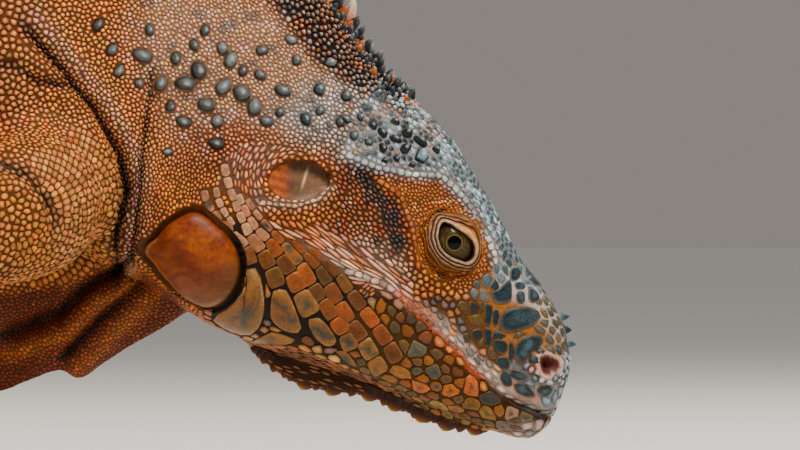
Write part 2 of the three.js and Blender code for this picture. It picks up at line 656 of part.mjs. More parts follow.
// ---------------------------------------------------------------- throat
// Folded throat flap: forward of the eye, height of the root inside the neck, height of the free edge.
const DEWLAP = [
  [-64, 59, 56], [-72, 64, 50.5], [-80, 69, 46], [-88, 73, 41], [-94, 75, 37.5], [-98, 77, 39.5],
  [-106, 80, 37], [-114, 83, 34], [-124, 84, 33], [-134, 84, 38], [-143, 84, 50],
];
const DEWLAP_HALF = [3.4, 12];  // half thickness at the free edge and at the root
// Fringe under the jaw: forward of the eye along the head, how far it hangs below the jaw.
const FRINGE = [[-26, 0.4], [-18, 3.4], [-8, 5.6], [-1, 5], [8, 3], [20, 3.4], [28, 3], [37, 0.4]];
const FRINGE_HALF = 1.3;
const FRINGE_SPIKES = [-7.3, -0.9, 7.4, 14.1, 21.2, 27.3, 33.7];

// A closed loop of points in the upright plane at x, between two heights.
function flapRing(x, edge, root, corners) {
  return Array.from({ length: corners }, (_, k) => {
    const angle = (2 * Math.PI * (k + 0.5)) / corners;
    const height = mix(edge, root, (1 + Math.sin(angle)) / 2);
    const half = mix(DEWLAP_HALF[0], DEWLAP_HALF[1], clamp01((height - edge) / 40));
    const fold = 1.8 * Math.sin((x - 0.8 * height) / 5) * clamp01((root - height) / 12);
    return vector(x, half * Math.cos(angle) + fold, height);
  });
}

function buildDewlap() {
  const byDistance = DEWLAP.map(([x, top, bottom]) => [-x, top, bottom]);
  const rootAt = curve(byDistance, 1);
  const edgeAt = curve(byDistance, 2);
  const rings = [];
  const first = byDistance[0][0];
  const last = byDistance[byDistance.length - 1][0];
  for (let i = 0; i <= 16; i += 1) {
    const distance = mix(first, last, i / 16);
    rings.push(flapRing(-distance, edgeAt(distance), rootAt(distance), 10));
  }
  return nodeOf("dewlap", clearOfBody(solidOf(skinOver(rings))), MATERIALS.dewlap);
}

function buildFringe() {
  const depthAt = curve(FRINGE);
  const rings = [];
  for (let forward = FRINGE[0][0]; forward <= FRINGE[FRINGE.length - 1][0] + 0.1; forward += 4.5) {
    const jaw = undersideAt(-forward);
    const edge = jaw - depthAt(forward);
    const low = mix(jaw, edge, 0.6);
    const section = [[1, jaw + 3], [1, low], [0, edge], [-1, low], [-1, jaw + 3]];
    rings.push(section.map(([side, height]) => headPoint(forward, side * FRINGE_HALF, height)).reverse());
  }
  const { forward: ahead, up } = spineFrame(0);
  const down = up.clone().negate().addScaledVector(ahead, 0.15).normalize();
  const spikes = FRINGE_SPIKES.map((forward) =>
    spine(headPoint(forward, 0, undersideAt(-forward) - depthAt(forward) + 0.8), down, ahead, 3.8, 4, 2.4));
  return nodeOf("throat_fringe", clearOfBody(join([solidOf(skinOver(rings)), ...spikes])), MATERIALS.dewlap);
}

// ---------------------------------------------------------------- whole animal
const pieces = [
  ...buildHead(),
  ...buildTrunk(),
  buildDewlap(),
  buildFringe(),
  ...SIDES.flatMap(([name, side]) => [
    ...buildLeg(`foreleg_${name}`, FORELEG, FINGERS, side, side > 0 ? LEFT_STRIDES.foreleg : 0),
    ...buildLeg(`hindleg_${name}`, HINDLEG, TOES, side, side > 0 ? LEFT_STRIDES.hindleg : 0),
  ]),
];
const box = new THREE.Box3();
for (const piece of pieces) box.expandByObject(piece);
const middle = box.getCenter(vector(0, 0, 0));
const group = new THREE.Group();
for (const piece of pieces) group.add(piece);
group.position.set(-middle.x, -middle.y, -box.min.z);

export default group;
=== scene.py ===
"""An adult male green iguana at life size: one skin over the whole body, with its scales, plates,
crest, eyes, ear drums and claws as solid meshes over it.

Lengths are in millimetres in the modelling frame: +X towards the snout, +Y to the animal's left,
+Z up, zero under the eyes on the floor. Everything is turned into metres where its mesh is made.
"""

import math

import bpy
import numpy as np
from bpy.props import FloatProperty, FloatVectorProperty, IntProperty, PointerProperty
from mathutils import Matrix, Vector
from mathutils.bvhtree import BVHTree
from mathutils.kdtree import KDTree


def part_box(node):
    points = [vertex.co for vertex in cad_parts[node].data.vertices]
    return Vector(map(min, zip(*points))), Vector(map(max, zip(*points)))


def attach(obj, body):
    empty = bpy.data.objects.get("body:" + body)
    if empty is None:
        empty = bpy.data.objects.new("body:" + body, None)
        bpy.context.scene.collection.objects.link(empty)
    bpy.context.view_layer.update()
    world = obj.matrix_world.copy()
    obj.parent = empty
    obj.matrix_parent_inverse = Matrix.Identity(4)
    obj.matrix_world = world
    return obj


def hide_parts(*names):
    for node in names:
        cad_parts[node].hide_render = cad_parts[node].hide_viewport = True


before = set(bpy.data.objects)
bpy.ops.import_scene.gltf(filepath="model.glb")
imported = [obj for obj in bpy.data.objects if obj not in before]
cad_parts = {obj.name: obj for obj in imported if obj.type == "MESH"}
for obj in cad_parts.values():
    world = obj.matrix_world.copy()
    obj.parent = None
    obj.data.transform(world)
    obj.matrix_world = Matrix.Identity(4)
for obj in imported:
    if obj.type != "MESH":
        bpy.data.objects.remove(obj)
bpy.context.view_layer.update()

bl_info = {
    "name": "Iguana",
    "version": (1, 0, 0),
    "blender": (4, 5, 0),
    "location": "3D View > Sidebar > Iguana",
    "description": "Builds the skin, scales, crest, eyes and claws of a life-size iguana",
    "category": "Add Mesh",
}

# ---------------------------------------------------------------- frame and driving sizes
MM = 0.001
EYE_HEIGHT = 72.0
SNOUT, NAPE, SHOULDER, VENT, TAIL_TIP = -47.6, 61.0, 112.0, 424.0, 1470.0
NECK_END, TRUNK_MIDDLE, TAIL_RINGS = 128.0, 290.0, 521.0
FOLDS_END, AREAS_END, SPOTS_END = 150.0, 140.0, 135.0   # how far back the head's and neck's own details reach
PATH_STEP = 2.0
FLOOR_BLEND = 5.0
SOLE_SINK = 0.8
COAT_DEPTH = 0.5              # the skin lies this far inside the solids
SEED = 7
ELSEWHERE = 99.0              # distance or share given to points on the other side of the head


def node_middle(name):
    low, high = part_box(name)
    return (low + high) / 2


EYES_MIDDLE = (node_middle("eye_right") + node_middle("eye_left")) / 2
ORIGIN = np.array(EYES_MIDDLE) - np.array([0, 0, EYE_HEIGHT * MM])

# Spine line: rise towards the tail and turn to the left, in degrees, at distances along the body.
RISE = [(SNOUT, 38), (57, 38), (140, 2), (200, -7), (300, -14), (400, -18), (470, -22), (570, -20), (660, -12)]
TURN = [(VENT, 0), (560, 12), (760, 58), (960, 84), (1150, 74), (1300, 45), (TAIL_TIP, 15)]

# Cross-sections: distance, top, underside, half width and level of the widest place.
SECTIONS = [
    (SNOUT, -19.5, -25, 2.5, -22), (-46, -13, -27.2, 6.6, -20), (-43, -5.5, -29, 9.6, -18),
    (-39, -1.2, -30.5, 11.5, -17), (-33, 3, -32.5, 13.2, -17), (-25, 5.8, -35, 14.8, -19),
    (-17, 7.8, -37.3, 16.6, -21), (-8, 12, -40.2, 19.2, -23), (0, 15.6, -42.8, 21.6, -26),
    (8, 18.4, -45.8, 24.2, -29), (16, 21.4, -48.6, 26.8, -32), (25, 22.6, -51.2, 29.4, -35),
    (33, 22.6, -53.2, 31.6, -38), (45, 24.6, -55, 33.4, -40), (NAPE, 30.6, -57, 32.6, -37),
    (72, 35, -59, 33, -33), (90, 40, -62, 37, -27), (SHOULDER, 44, -68, 42, -22), (140, 46, -73, 47, -20),
    (180, 47, -74, 51, -22), (230, 46, -72, 54, -26), (290, 43, -66, 54, -24), (345, 38, -56, 46, -18),
    (380, 33.5, -47, 38, -13), (VENT, 28, -37, 30, -8), (470, 23.5, -28, 24, -4), (540, 19.5, -21, 18.6, -1),
    (620, 16.5, -16.5, 15, 0), (750, 12.8, -12.8, 11.6, 0), (900, 9.6, -9.6, 8.8, 0), (1100, 6.4, -6.4, 5.9, 0),
    (1300, 3.8, -3.8, 3.6, 0), (TAIL_TIP, 1.3, -1.3, 1.3, 0),
]
SQUARENESS = [(SNOUT, 2.2), (-25, 2.4), (0, 2.2), (30, 2.1), (120, 2.1), (300, 2.2), (600, 2)]


# ---------------------------------------------------------------- small mathematics
def curve(keys, column=1):
    """A smooth curve through keys (x, y, ...) that never swings past them."""
    x = np.array([k[0] for k in keys], float)
    y = np.array([k[column] for k in keys], float)
    slope = np.diff(y) / np.diff(x)
    tangent = np.concatenate([slope[:1], np.zeros(len(y) - 2), slope[-1:]])
    before, after = slope[:-1], slope[1:]
    same = before * after > 0
    tangent[1:-1] = np.where(same, 2 * before * after / np.where(same, before + after, 1), 0)

    def at(value):
        v = np.clip(np.asarray(value, float), x[0], x[-1])
        i = np.clip(np.searchsorted(x, v, side="right") - 1, 0, len(x) - 2)
        width = x[i + 1] - x[i]
        f = (v - x[i]) / width
        return (y[i] * (1 + 2 * f) * (1 - f) ** 2 + width * tangent[i] * f * (1 - f) ** 2
                + y[i + 1] * f * f * (3 - 2 * f) + width * tangent[i + 1] * f * f * (f - 1))

    return at


def bell(distance, spread):
    return np.exp(-((distance / spread) ** 2))


def ease(value, low=0.0, high=1.0):
    """0 below low, 1 above high and smooth between."""
    f = np.clip((np.asarray(value, float) - low) / (high - low), 0, 1)
    return f * f * (3 - 2 * f)


def mix(a, b, f):
    return a + (b - a) * f


def unit(v):
    v = np.asarray(v, float)
    return v / np.maximum(np.linalg.norm(v, axis=-1, keepdims=True), 1e-12)


def dot(a, b):
    return (a * b).sum(-1)


def round_angles(count, start=0.0):
    """Evenly spaced angles of a full turn, the first one `start` steps on."""
    return 2 * np.pi * (np.arange(count) + start) / count


def shifted(line, x, z):
    """A line of marks moved ahead and up."""
    return [(a + x, b + z) for a, b in line]


def line_distance(points, line):
    """Distance of flat points from a line of straight stretches, and how far along it they are, 0 to 1."""
    line = np.asarray(line, float)
    lengths = np.linalg.norm(np.diff(line, axis=0), axis=1)
    best = np.full(len(points), np.inf)
    share = np.zeros(len(points))
    start = 0.0
    for a, b, length in zip(line[:-1], line[1:], lengths):
        f = np.clip(((points - a) @ (b - a)) / length**2, 0, 1)
        d = np.linalg.norm(points - a - f[:, None] * (b - a), axis=1)
        near = d < best
        best[near] = d[near]
        share[near] = (start + f[near] * length) / lengths.sum()
        start += length
    return best, share


def inside(points, outline, soft):
    """1 well inside a closed outline, 0 well outside, turning over `soft` either side of it."""
    outline = np.asarray(outline, float)
    loop = np.vstack([outline, outline[:1]])
    edge, _ = line_distance(points, loop)
    x, y = points[:, 0], points[:, 1]
    within = np.zeros(len(points), bool)
    for (ax, ay), (bx, by) in zip(loop[:-1], loop[1:]):
        crosses = (ay > y) != (by > y)
        at = (bx - ax) * (y - ay) / np.where(by == ay, 1, by - ay) + ax
        within ^= crosses & (x < at)
    return ease(np.where(within, edge, -edge), -soft, soft)


def noise(points, scale, seed=0):
    """Smooth random values from -1 to 1, in cells `scale` millimetres across."""
    p = np.asarray(points, float) / scale + 37.3 * seed
    cell = np.floor(p).astype(np.int64)
    f = p - cell
    f = f * f * (3 - 2 * f)
    total = np.zeros(len(p))
    for corner in range(8):
        step = np.array([corner & 1, (corner >> 1) & 1, (corner >> 2) & 1])
        n = (cell + step) @ np.array([73856093, 19349663, 83492791]) + seed * 9176
        n = (n ^ (n >> 13)) * 1274126177
        value = ((n ^ (n >> 16)) & 65535) / 32767.5 - 1
        total += value * np.prod(np.where(step, f, 1 - f), axis=1)
    return total


def rgb(red, green, blue):
    """A colour given in ordinary 0 to 255 values, as linear light."""
    c = np.array([red, green, blue]) / 255
    return np.where(c <= 0.04045, c / 12.92, ((c + 0.055) / 1.055) ** 2.4)


# ---------------------------------------------------------------- spine line
rise_at, turn_at = curve(RISE), curve(TURN)
top_at, underside_at, half_width_at, level_at = (curve(SECTIONS, k) for k in (1, 2, 3, 4))
squareness_at = curve(SQUARENESS)


def lay_path():
    """Points every PATH_STEP behind the eye. Where the line would sink, the tail lies on its underside."""
    points = []
    at = np.array([0.0, 0.0, EYE_HEIGHT])
    for t in np.arange(0, TAIL_TIP + PATH_STEP + 0.1, PATH_STEP):
        resting = -underside_at(t) - SOLE_SINK
        above = (at[2] - resting) / FLOOR_BLEND
        height = at[2] if above > 30 else resting + FLOOR_BLEND * math.log(1 + math.exp(above))
        points.append((at[0], at[1], height))
        rise, turn = math.radians(rise_at(t)), math.radians(turn_at(t))
        level = math.cos(rise) * PATH_STEP
        at = at + np.array([-level * math.cos(turn), level * math.sin(turn), math.sin(rise) * PATH_STEP])
    return np.array(points)


PATH = lay_path()
FORWARD = unit(np.vstack([PATH[:1] - PATH[1:2], PATH[:-2] - PATH[2:], PATH[-2:-1] - PATH[-1:]]))


def spine_frame(t):
    """Places on the spine line at distances t, with forward, left and up there."""
    t = np.asarray(t, float)
    i = np.clip(t / PATH_STEP, 0, len(PATH) - 1.001)
    low = i.astype(int)
    f = (i - low)[..., None]
    point = mix(PATH[low], PATH[low + 1], f)
    forward = unit(mix(FORWARD[low], FORWARD[low + 1], f))
    point = point + forward * np.maximum(-t, 0)[..., None]
    left = unit(np.cross([0.0, 0.0, 1.0], forward))
    return point, forward, left, np.cross(forward, left)


def spine_point(t, side, height):
    point, _, left, up = spine_frame(t)
    return point + left * np.asarray(side)[..., None] + up * np.asarray(height)[..., None]


def body_marks(points):
    """Distance along the spine line, offset to the left and height over it, of points in space."""
    points = np.asarray(points, float)
    nearest = np.zeros(len(points))
    for start in range(0, len(points), 4096):
        chunk = points[start:start + 4096]
        gap = dot(chunk, chunk)[:, None] - 2 * chunk @ PATH.T + dot(PATH, PATH)[None, :]
        nearest[start:start + 4096] = gap.argmin(1) * PATH_STEP
    ahead = spine_frame(np.zeros(1))
    straight = nearest < 2 * PATH_STEP
    t = nearest
    for _ in range(2):
        point, forward, _, _ = spine_frame(t)
        t = t - np.clip(dot(points - point, forward), -PATH_STEP, PATH_STEP)
    t = np.where(straight, -dot(points - ahead[0], ahead[1]), t)
    point, _, left, up = spine_frame(t)
    return t, dot(points - point, left), dot(points - point, up)


_, HEAD_FORWARD, HEAD_LEFT, HEAD_UP = (v[0] for v in spine_frame(np.zeros(1)))


def head_point(forward, side, height):
    return spine_point(-np.asarray(forward, float), side, height)


def sight(points):
    """How far points are ahead of the eye and above it, level and upright, as seen square from one side."""
    return np.stack([points[:, 0], points[:, 2] - EYE_HEIGHT], 1)


def head_marks(flat):
    """Forward along the head and up from its line, from marks seen square from one side."""
    pitch = math.radians(RISE[0][1])
    x, z = np.asarray(flat, float).T
    return np.stack([x * math.cos(pitch) - z * math.sin(pitch), x * math.sin(pitch) + z * math.cos(pitch)], 1)


# ---------------------------------------------------------------- forms of the head and neck
EAR = (-39.6, -11)            # forward along the head and above its line
JAW_SHIELD = (-47.9, -43)
NOSTRIL = (38.6, -8.8)
EYE_SIDE, EYEBALL_RADIUS = 14.6, 7.6
EAR_SIDE, SHIELD_SIDE = 29.2, 33.2
EYE_BACK = -4.0               # points further in than this belong to the other eye
EYE_OUT = (0.12, 0.1)         # which way an eye looks, forward and up, beyond straight sideways
SHIELD_OUT = (-0.1, -0.12)
EAR_OUT = (-0.2, 0.1)

# Swellings and hollows: forward, height, reach, depth.
SWELLINGS = [
    (0, 0, 9, 2.2), (-20, -2, 8, -1.6), (20, -6, 7, -1.2), (NOSTRIL[0], NOSTRIL[1], 4, 1.6),
    (JAW_SHIELD[0], JAW_SHIELD[1], 13, 1.6), (-4, 11, 4.5, 1.3), (-12, 13, 4.5, 1.3), (-26, -26, 9, 1.5),
]

# Lines seen square from the side, ahead of the eye and above it.
BROW = [
    (-25.8, 22), (-17.8, 18.8), (-8.5, 17.2), (-2.2, 17), (3, 12), (5.8, 8.2), (7.8, 4.8), (9.5, 2),
    (11.2, -2.5), (12, -7.2),
]
SOCKET_RIM = [(-17.8, 15.8), (-12.2, 11.8), (-9.5, 4.2), (-7.8, -6.5)]
TEMPLE_BAND = [(-24, 19.2), (-16, 12), (-12.2, 8.2), (-11, 1.8)]
CHEEK_RIDGE = [(-36.5, -1.8), (-26, -6.8), (-15.5, -10.8), (-10.8, -14.8), (-2.5, -22)]
MOUTH_LINE = [
    (-12.5, -12.8), (-9.2, -16.8), (-4, -22), (1, -27), (8.2, -34.5), (13.5, -38.8), (22.8, -43), (30, -45),
]
JAW_EDGE = [(-49.8, -25), (-38.5, -25.5), (-22.8, -31.8), (-2.5, -42.8), (12, -48)]
EAR_RIM = [(-47.5, 10), (-38.5, 9.2), (-33, 10.8), (-30.2, 13.8)]
EAR_FOLD = [(-50, 6.5), (-44, 6), (-36.8, 7)]
FRONT_CREASE = [(-106.8, 55), (-96.5, 43), (-89, 34), (-82.5, 22.5), (-80.6, 13), (-83.2, 3.2), (-84, -8)]
BACK_CREASE = [(-118, 48), (-112.5, 46), (-103, 41), (-94.8, 38.5)]
NECK_CREASE = [(-74.2, 43.5), (-75, 35.2), (-76.8, 22.5), (-77.8, 9.8), (-79.5, -4)]
ARM_CREASE = [(-120, 24), (-112, 19.5), (-105, 17), (-100.5, 12), (-97.5, 5)]
UPPER_THROAT_FOLD = [(-113, -23.5), (-98, -17.5), (-90.8, -10.2), (-83.2, -6.5), (-79.8, -3)]
LOWER_THROAT_FOLD = [(-97.8, -29), (-91.2, -22.5), (-87, -18.2), (-82, -13.8), (-77, -8.8)]

# Line, half width, rise (or fall), of the folds in the skin.
FOLDS = [
    (BROW, 1.7, 1.25), (SOCKET_RIM, 1.5, 0.9), (TEMPLE_BAND, 2.6, -1.1), (CHEEK_RIDGE, 1.7, 0.9),
    (MOUTH_LINE, 0.75, -1.3), (shifted(MOUTH_LINE, 1.5, 1.4), 1.2, 0.55), (JAW_EDGE, 1.2, 0.5),
    (shifted(JAW_EDGE, 0, -2.4), 1.6, -0.8), (EAR_RIM, 1.5, 1), (EAR_FOLD, 2.2, 0.9), (FRONT_CREASE, 1, -3),
    (shifted(FRONT_CREASE, 3.4, 1.2), 2.8, 1.5), (shifted(FRONT_CREASE, -3.4, -1.6), 2.6, 1.2),
    (BACK_CREASE, 0.9, -1.8), (shifted(BACK_CREASE, 0, 2.6), 2, 1), (NECK_CREASE, 0.8, -1.8),
    (shifted(NECK_CREASE, 2.6, 0), 2, 0.9), (ARM_CREASE, 1.1, -1.8), (shifted(ARM_CREASE, -3.2, -2), 2.8, 1.2),
    (UPPER_THROAT_FOLD, 1.4, -3), (shifted(UPPER_THROAT_FOLD, 1.5, -4.4), 3, 1.5),
    (shifted(UPPER_THROAT_FOLD, -1.5, 4.4), 3, 1.2), (LOWER_THROAT_FOLD, 1.2, -2.8),
    (shifted(LOWER_THROAT_FOLD, 2.5, -3.6), 2.8, 1.3),
]


def relief(t, b):
    """How far the skin stands out from the plain section at distance t and height b, as in the solids."""
    out = np.zeros(np.broadcast(t, b).shape)
    for forward, height, reach, depth in SWELLINGS:
        out = out + depth * bell(np.hypot(-t - forward, b - height), reach)
    fold = bell(t - mix(104, 84, np.clip((b + 50) / 90, 0, 1)), 4.5)
    return out - 0.6 * fold * np.clip((40 - b) / 20, 0, 1) * np.clip((b + 64) / 20, 0, 1)


def skin_points(t, angle, grow=0.0):
    """Points on the plain skin: angle 0 is the animal's left, a quarter turn is the back."""
    c, s = np.cos(angle), np.sin(angle)
    level = level_at(t)
    reach = np.where(s > 0, top_at(t) - level, level - underside_at(t))
    power = 2 / squareness_at(t)
    across = np.sign(c) * np.abs(c) ** power
    b = level + reach * np.sign(s) * np.abs(s) ** power
    out = grow + relief(t, b) * np.abs(c) ** 0.5
    return spine_point(t, half_width_at(t) * across + out * c, b + out * s)


def nostril_share(forward):
    """0 at the middle of a nostril and 1 at the outside of its rim, for marks along the head."""
    u, v = (forward[:, 0] - NOSTRIL[0]) / 3.6, (forward[:, 1] - NOSTRIL[1]) / 3.2
    return np.hypot(u, v) * (1 + 0.1 * np.cos(3 * np.arctan2(v, u) + 0.6))


def folded(points, sideness):
    """How far the folds of the head and neck lift or sink the skin at points."""
    flat = sight(points)
    out = np.zeros(len(points))
    for line, width, rise in FOLDS:
        distance, share = line_distance(flat, line)
        ends = ease(share, 0, 0.08) * ease(1 - share, 0, 0.08)
        out += rise * bell(distance, width) * (0.25 + 0.75 * ends)
    rim = nostril_share(head_marks(flat))
    out += 0.9 * bell(rim - 0.84, 0.28) - 3.4 * bell(rim, 0.5)
    return out * sideness


# ---------------------------------------------------------------- meshes
def band(low, high, count):
    """Triangles between two rings of `count` points, which start at the points low and high."""
    k = np.arange(count)
    n = (k + 1) % count
    return [np.stack([low + k, low + n, high + n], 1), np.stack([low + k, high + n, high + k], 1)]


def rings_to_faces(counts):
    """Triangles of a closed skin over rings of the given counts, where a ring may have half the last one's
    points, and the number of hub points that its two flat ends add."""
    faces = []
    start = 0
    for count, after in zip(counts[:-1], counts[1:]):
        base = start + count
        if after == count:
            faces += band(start, base, count)
        else:
            k = np.arange(after)
            n = (k + 1) % after
            twice = 2 * k
            faces.append(np.stack([start + twice, start + twice + 1, base + k], 1))
            faces.append(np.stack([start + twice + 1, start + (twice + 2) % count, base + n], 1))
            faces.append(np.stack([start + twice + 1, base + n, base + k], 1))
        start += count
    total = sum(counts)
    k = np.arange(counts[0])
    faces.append(np.stack([np.full_like(k, total), (k + 1) % counts[0], k], 1))
    k = np.arange(counts[-1])
    last = total - counts[-1]
    faces.append(np.stack([np.full_like(k, total + 1), last + k, last + (k + 1) % counts[-1]], 1))
    return np.vstack(faces)


def with_hubs(rings):
    """Rings of points or colours as one, with the means of the first and the last ring at the end."""
    return np.vstack([*rings, rings[0].mean(0)[None], rings[-1].mean(0)[None]])


def closed_skin(rings):
    """Points and triangles of a closed skin over rings of points."""
    return with_hubs(rings), rings_to_faces([len(r) for r in rings])


def outward(points, faces):
    a, b, c = (points[faces[:, k]] for k in range(3))
    return faces if dot(a, np.cross(b, c)).sum() > 0 else faces[:, ::-1].copy()


def point_normals(points, faces):
    a, b, c = (points[faces[:, k]] for k in range(3))
    face = np.cross(b - a, c - a)
    normal = np.zeros_like(points)
    for k in range(3):
        for axis in range(3):
            normal[:, axis] += np.bincount(faces[:, k], face[:, axis], len(points))
    return unit(normal)


def make_mesh(name, points, faces, colours=None, spread=None):
    """A mesh object from points in millimetres and triangles, with a colour for each point and, where
    `spread` is given, a flat place for each point in the map OFBake."""
    mesh = bpy.data.meshes.new(name)
    metres = np.asarray(points) * MM + ORIGIN
    mesh.vertices.add(len(metres))
    mesh.vertices.foreach_set("co", metres.astype(np.float32).ravel())
    mesh.loops.add(faces.size)
    mesh.loops.foreach_set("vertex_index", faces.astype(np.int32).ravel())
    mesh.polygons.add(len(faces))
    mesh.polygons.foreach_set("loop_start", np.arange(0, faces.size, 3, dtype=np.int32))
    mesh.polygons.foreach_set("use_smooth", np.ones(len(faces), bool))
    if colours is not None:
        layer = mesh.color_attributes.new("marking", "FLOAT_COLOR", "POINT")
        rgba = np.ones((len(points), 4), np.float32)
        rgba[:, :3] = np.clip(colours, 0, 1)
        layer.data.foreach_set("color", rgba.ravel())
    if spread is not None:
        layer = mesh.uv_layers.new(name="OFBake")
        layer.data.foreach_set("uv", spread[faces.ravel()].astype(np.float32).ravel())
    mesh.update(calc_edges=True)
    mesh.validate()
    piece = bpy.data.objects.new(name, mesh)
    bpy.context.scene.collection.objects.link(piece)
    return piece


def mesh_arrays(mesh):
    mesh.calc_loop_triangles()
    points = np.empty(len(mesh.vertices) * 3)
    mesh.vertices.foreach_get("co", points)
    faces = np.empty(len(mesh.loop_triangles) * 3, np.int32)
    mesh.loop_triangles.foreach_get("vertices", faces)
    return (points.reshape(-1, 3) - ORIGIN) / MM, faces.reshape(-1, 3)


def edges_of(faces):
    return np.vstack([faces[:, [0, 1]], faces[:, [1, 2]], faces[:, [2, 0]]])


def tree_of(places):
    """A search tree over places."""
    tree = KDTree(len(places))
    for i, p in enumerate(places.tolist()):
        tree.insert(p, i)
    tree.balance()
    return tree


def united(solids):
    """One closed surface round several that overlap, each given as points and triangles."""
    objects = [make_mesh(f"joining_{i}", p, outward(p - p.mean(0), f)) for i, (p, f) in enumerate(solids)]
    for other in objects[1:]:
        union = objects[0].modifiers.new(other.name, "BOOLEAN")
        union.operation = "UNION"
        union.solver = "MANIFOLD"
        union.object = other
    whole = bpy.data.meshes.new_from_object(objects[0].evaluated_get(bpy.context.evaluated_depsgraph_get()))
    points, faces = mesh_arrays(whole)
    for piece in objects:
        mesh = piece.data
        bpy.data.objects.remove(piece)
        bpy.data.meshes.remove(mesh)
    bpy.data.meshes.remove(whole)
    if (np.unique(np.sort(edges_of(faces), 1), axis=0, return_counts=True)[1] != 2).any():
        raise RuntimeError("a surface joined from several solids came out open")
    return points, faces


def softened(points, faces, near, reach, rounds):
    """Smooths a surface round the marks `near`, fading out at `reach` from them."""
    tree = tree_of(near)
    low, high = near.min(0) - reach, near.max(0) + reach
    close = np.nonzero(((points > low) & (points < high)).all(1))[0]
    weight = np.zeros(len(points))
    weight[close] = [1 - min(1.0, tree.find(points[i])[2] / reach) for i in close]
    edges = edges_of(faces)
    start, end = edges[(weight[edges] > 0).any(1)].T
    count = np.bincount(start, minlength=len(points))[:, None]
    weight = ease(weight)[:, None] * (count > 0)
    points = points.copy()
    for _ in range(rounds):
        pull = np.stack([np.bincount(start, points[end, k], len(points)) for k in range(3)], 1)
        points += 0.5 * weight * (pull / np.maximum(count, 1) - points)
    return points


def made_by_joining(points, solids):
    """The points of a union that none of its solids had, so the ones where they cross."""
    known = {tuple(row) for p, _ in solids for row in np.round(p, 2)}
    return points[[tuple(row) not in known for row in np.round(points, 2)]]


# ---------------------------------------------------------------- legs
# Stops from inside the body outwards: forward, out from the middle, up, radius across and radius deep.
FORELEG = [
    (-98, 20, 92, 20, 22), (-105, 41, 83, 17, 20), (-124, 61, 74, 12.5, 15), (-147, 78, 66, 11, 12.5),
    (-146, 87, 48, 10.5, 12), (-134, 92, 29, 8.5, 9), (-124, 95, 15, 8.5, 7), (-115, 97, 8, 10.5, 6.2),
    (-105, 99, 5, 9, 4.2),
]
HINDLEG = [
    (-376, 14, 82, 22, 26), (-366, 38, 80, 20, 24), (-348, 70, 80, 17, 20), (-329, 100, 76, 13, 15),
    (-341, 112, 58, 13, 14), (-362, 120, 36, 10, 10), (-378, 126, 17, 9, 8), (-370, 132, 8.5, 10, 6.4),
    (-352, 139, 5, 9.5, 4.2),
]
# Which way each toe points, in degrees outward from straight ahead, and its length.
FINGERS = [(-50, 16), (-22, 25), (3, 29), (28, 29), (62, 20)]
TOES = [(-28, 20), (-10, 34), (6, 48), (22, 60), (60, 34)]
CLAW_STOPS = [(-0.6, 2.9, 0.62, 0.66), (1, 3.3, 0.6, 0.66), (2.6, 3.8, 0.5, 0.62), (4.5, 3.8, 0.36, 0.5),
              (6.4, 2.9, 0.24, 0.34), (7.9, 1.8, 0.13, 0.2), (8.5, 0.9, 0.05, 0.07)]
TOE_THICK, TOE_PITCH = 3.4, 3.4
SIDES = [("right", -1), ("left", 1)]
PAIRS = [("foreleg", FORELEG, FINGERS, -12.0), ("hindleg", HINDLEG, TOES, -16.0)]
LEGS = [(f"{pair}_{name}", table, digits, side, stride if side > 0 else 0.0)
        for pair, table, digits, stride in PAIRS for name, side in SIDES]


class Limb:
    """A round form along a smooth line through stops, each a place with a radius across and one deep."""

    FINE = 0.02               # step between the keys where its directions are kept

    def __init__(self, places, across, deep):
        self.places = np.asarray(places, float)
        keys = range(len(places))
        self.across = curve(list(zip(keys, across)))
        self.deep = curve(list(zip(keys, deep)))
        along = unit(np.gradient(self.at(np.arange(0, self.last + 1e-6, self.FINE)), axis=0))
        broad = unit(np.cross([0.0, 0.0, 1.0], along[0]))
        sides = []
        for tangent in along:
            broad = unit(broad - tangent * dot(tangent, broad))
            sides.append(broad)
        self.tangents, self.broads = along, np.array(sides)

    @property
    def last(self):
        return len(self.places) - 1

    def at(self, key):
        """Place at a key, where whole keys are the stops."""
        p = np.vstack([2 * self.places[0] - self.places[1], self.places, 2 * self.places[-1] - self.places[-2]])
        step = np.sqrt(np.linalg.norm(np.diff(p, axis=0), axis=1))[:, None]
        i = np.clip(np.floor(key).astype(int), 0, self.last - 1)
        f = (np.asarray(key) - i)[:, None]
        p0, p1, p2, p3 = p[i], p[i + 1], p[i + 2], p[i + 3]
        d0, d1, d2 = step[i], step[i + 1], step[i + 2]
        m1 = ((p1 - p0) / d0 - (p2 - p0) / (d0 + d1) + (p2 - p1) / d1) * d1
        m2 = ((p2 - p1) / d1 - (p3 - p1) / (d1 + d2) + (p3 - p2) / d2) * d1
        return (p1 * (1 + 2 * f) * (1 - f) ** 2 + m1 * f * (1 - f) ** 2
                + p2 * f * f * (3 - 2 * f) + m2 * f * f * (f - 1))

    def frame(self, key):
        i = np.clip(np.rint(np.asarray(key) / self.FINE).astype(int), 0, len(self.tangents) - 1)
        return self.tangents[i], self.broads[i], np.cross(self.tangents[i], self.broads[i])

    def surface(self, key, angle, grow=0.0):
        """Points on the limb at keys along it and angles round it."""
        key, angle = np.asarray(key, float), np.asarray(angle, float)
        _, broad, deep = self.frame(key)
        across = (self.across(key) + grow)[:, None] * np.cos(angle)[:, None]
        depth = (self.deep(key) + grow)[:, None] * np.sin(angle)[:, None]
        return self.at(key) + broad * across + deep * depth

    def skin(self, rings, around, grow=0.0):
        angle = round_angles(around, 0.5)
        keys = np.linspace(0, self.last, rings)
        return closed_skin([self.surface(np.full(around, key), angle, grow) for key in keys])


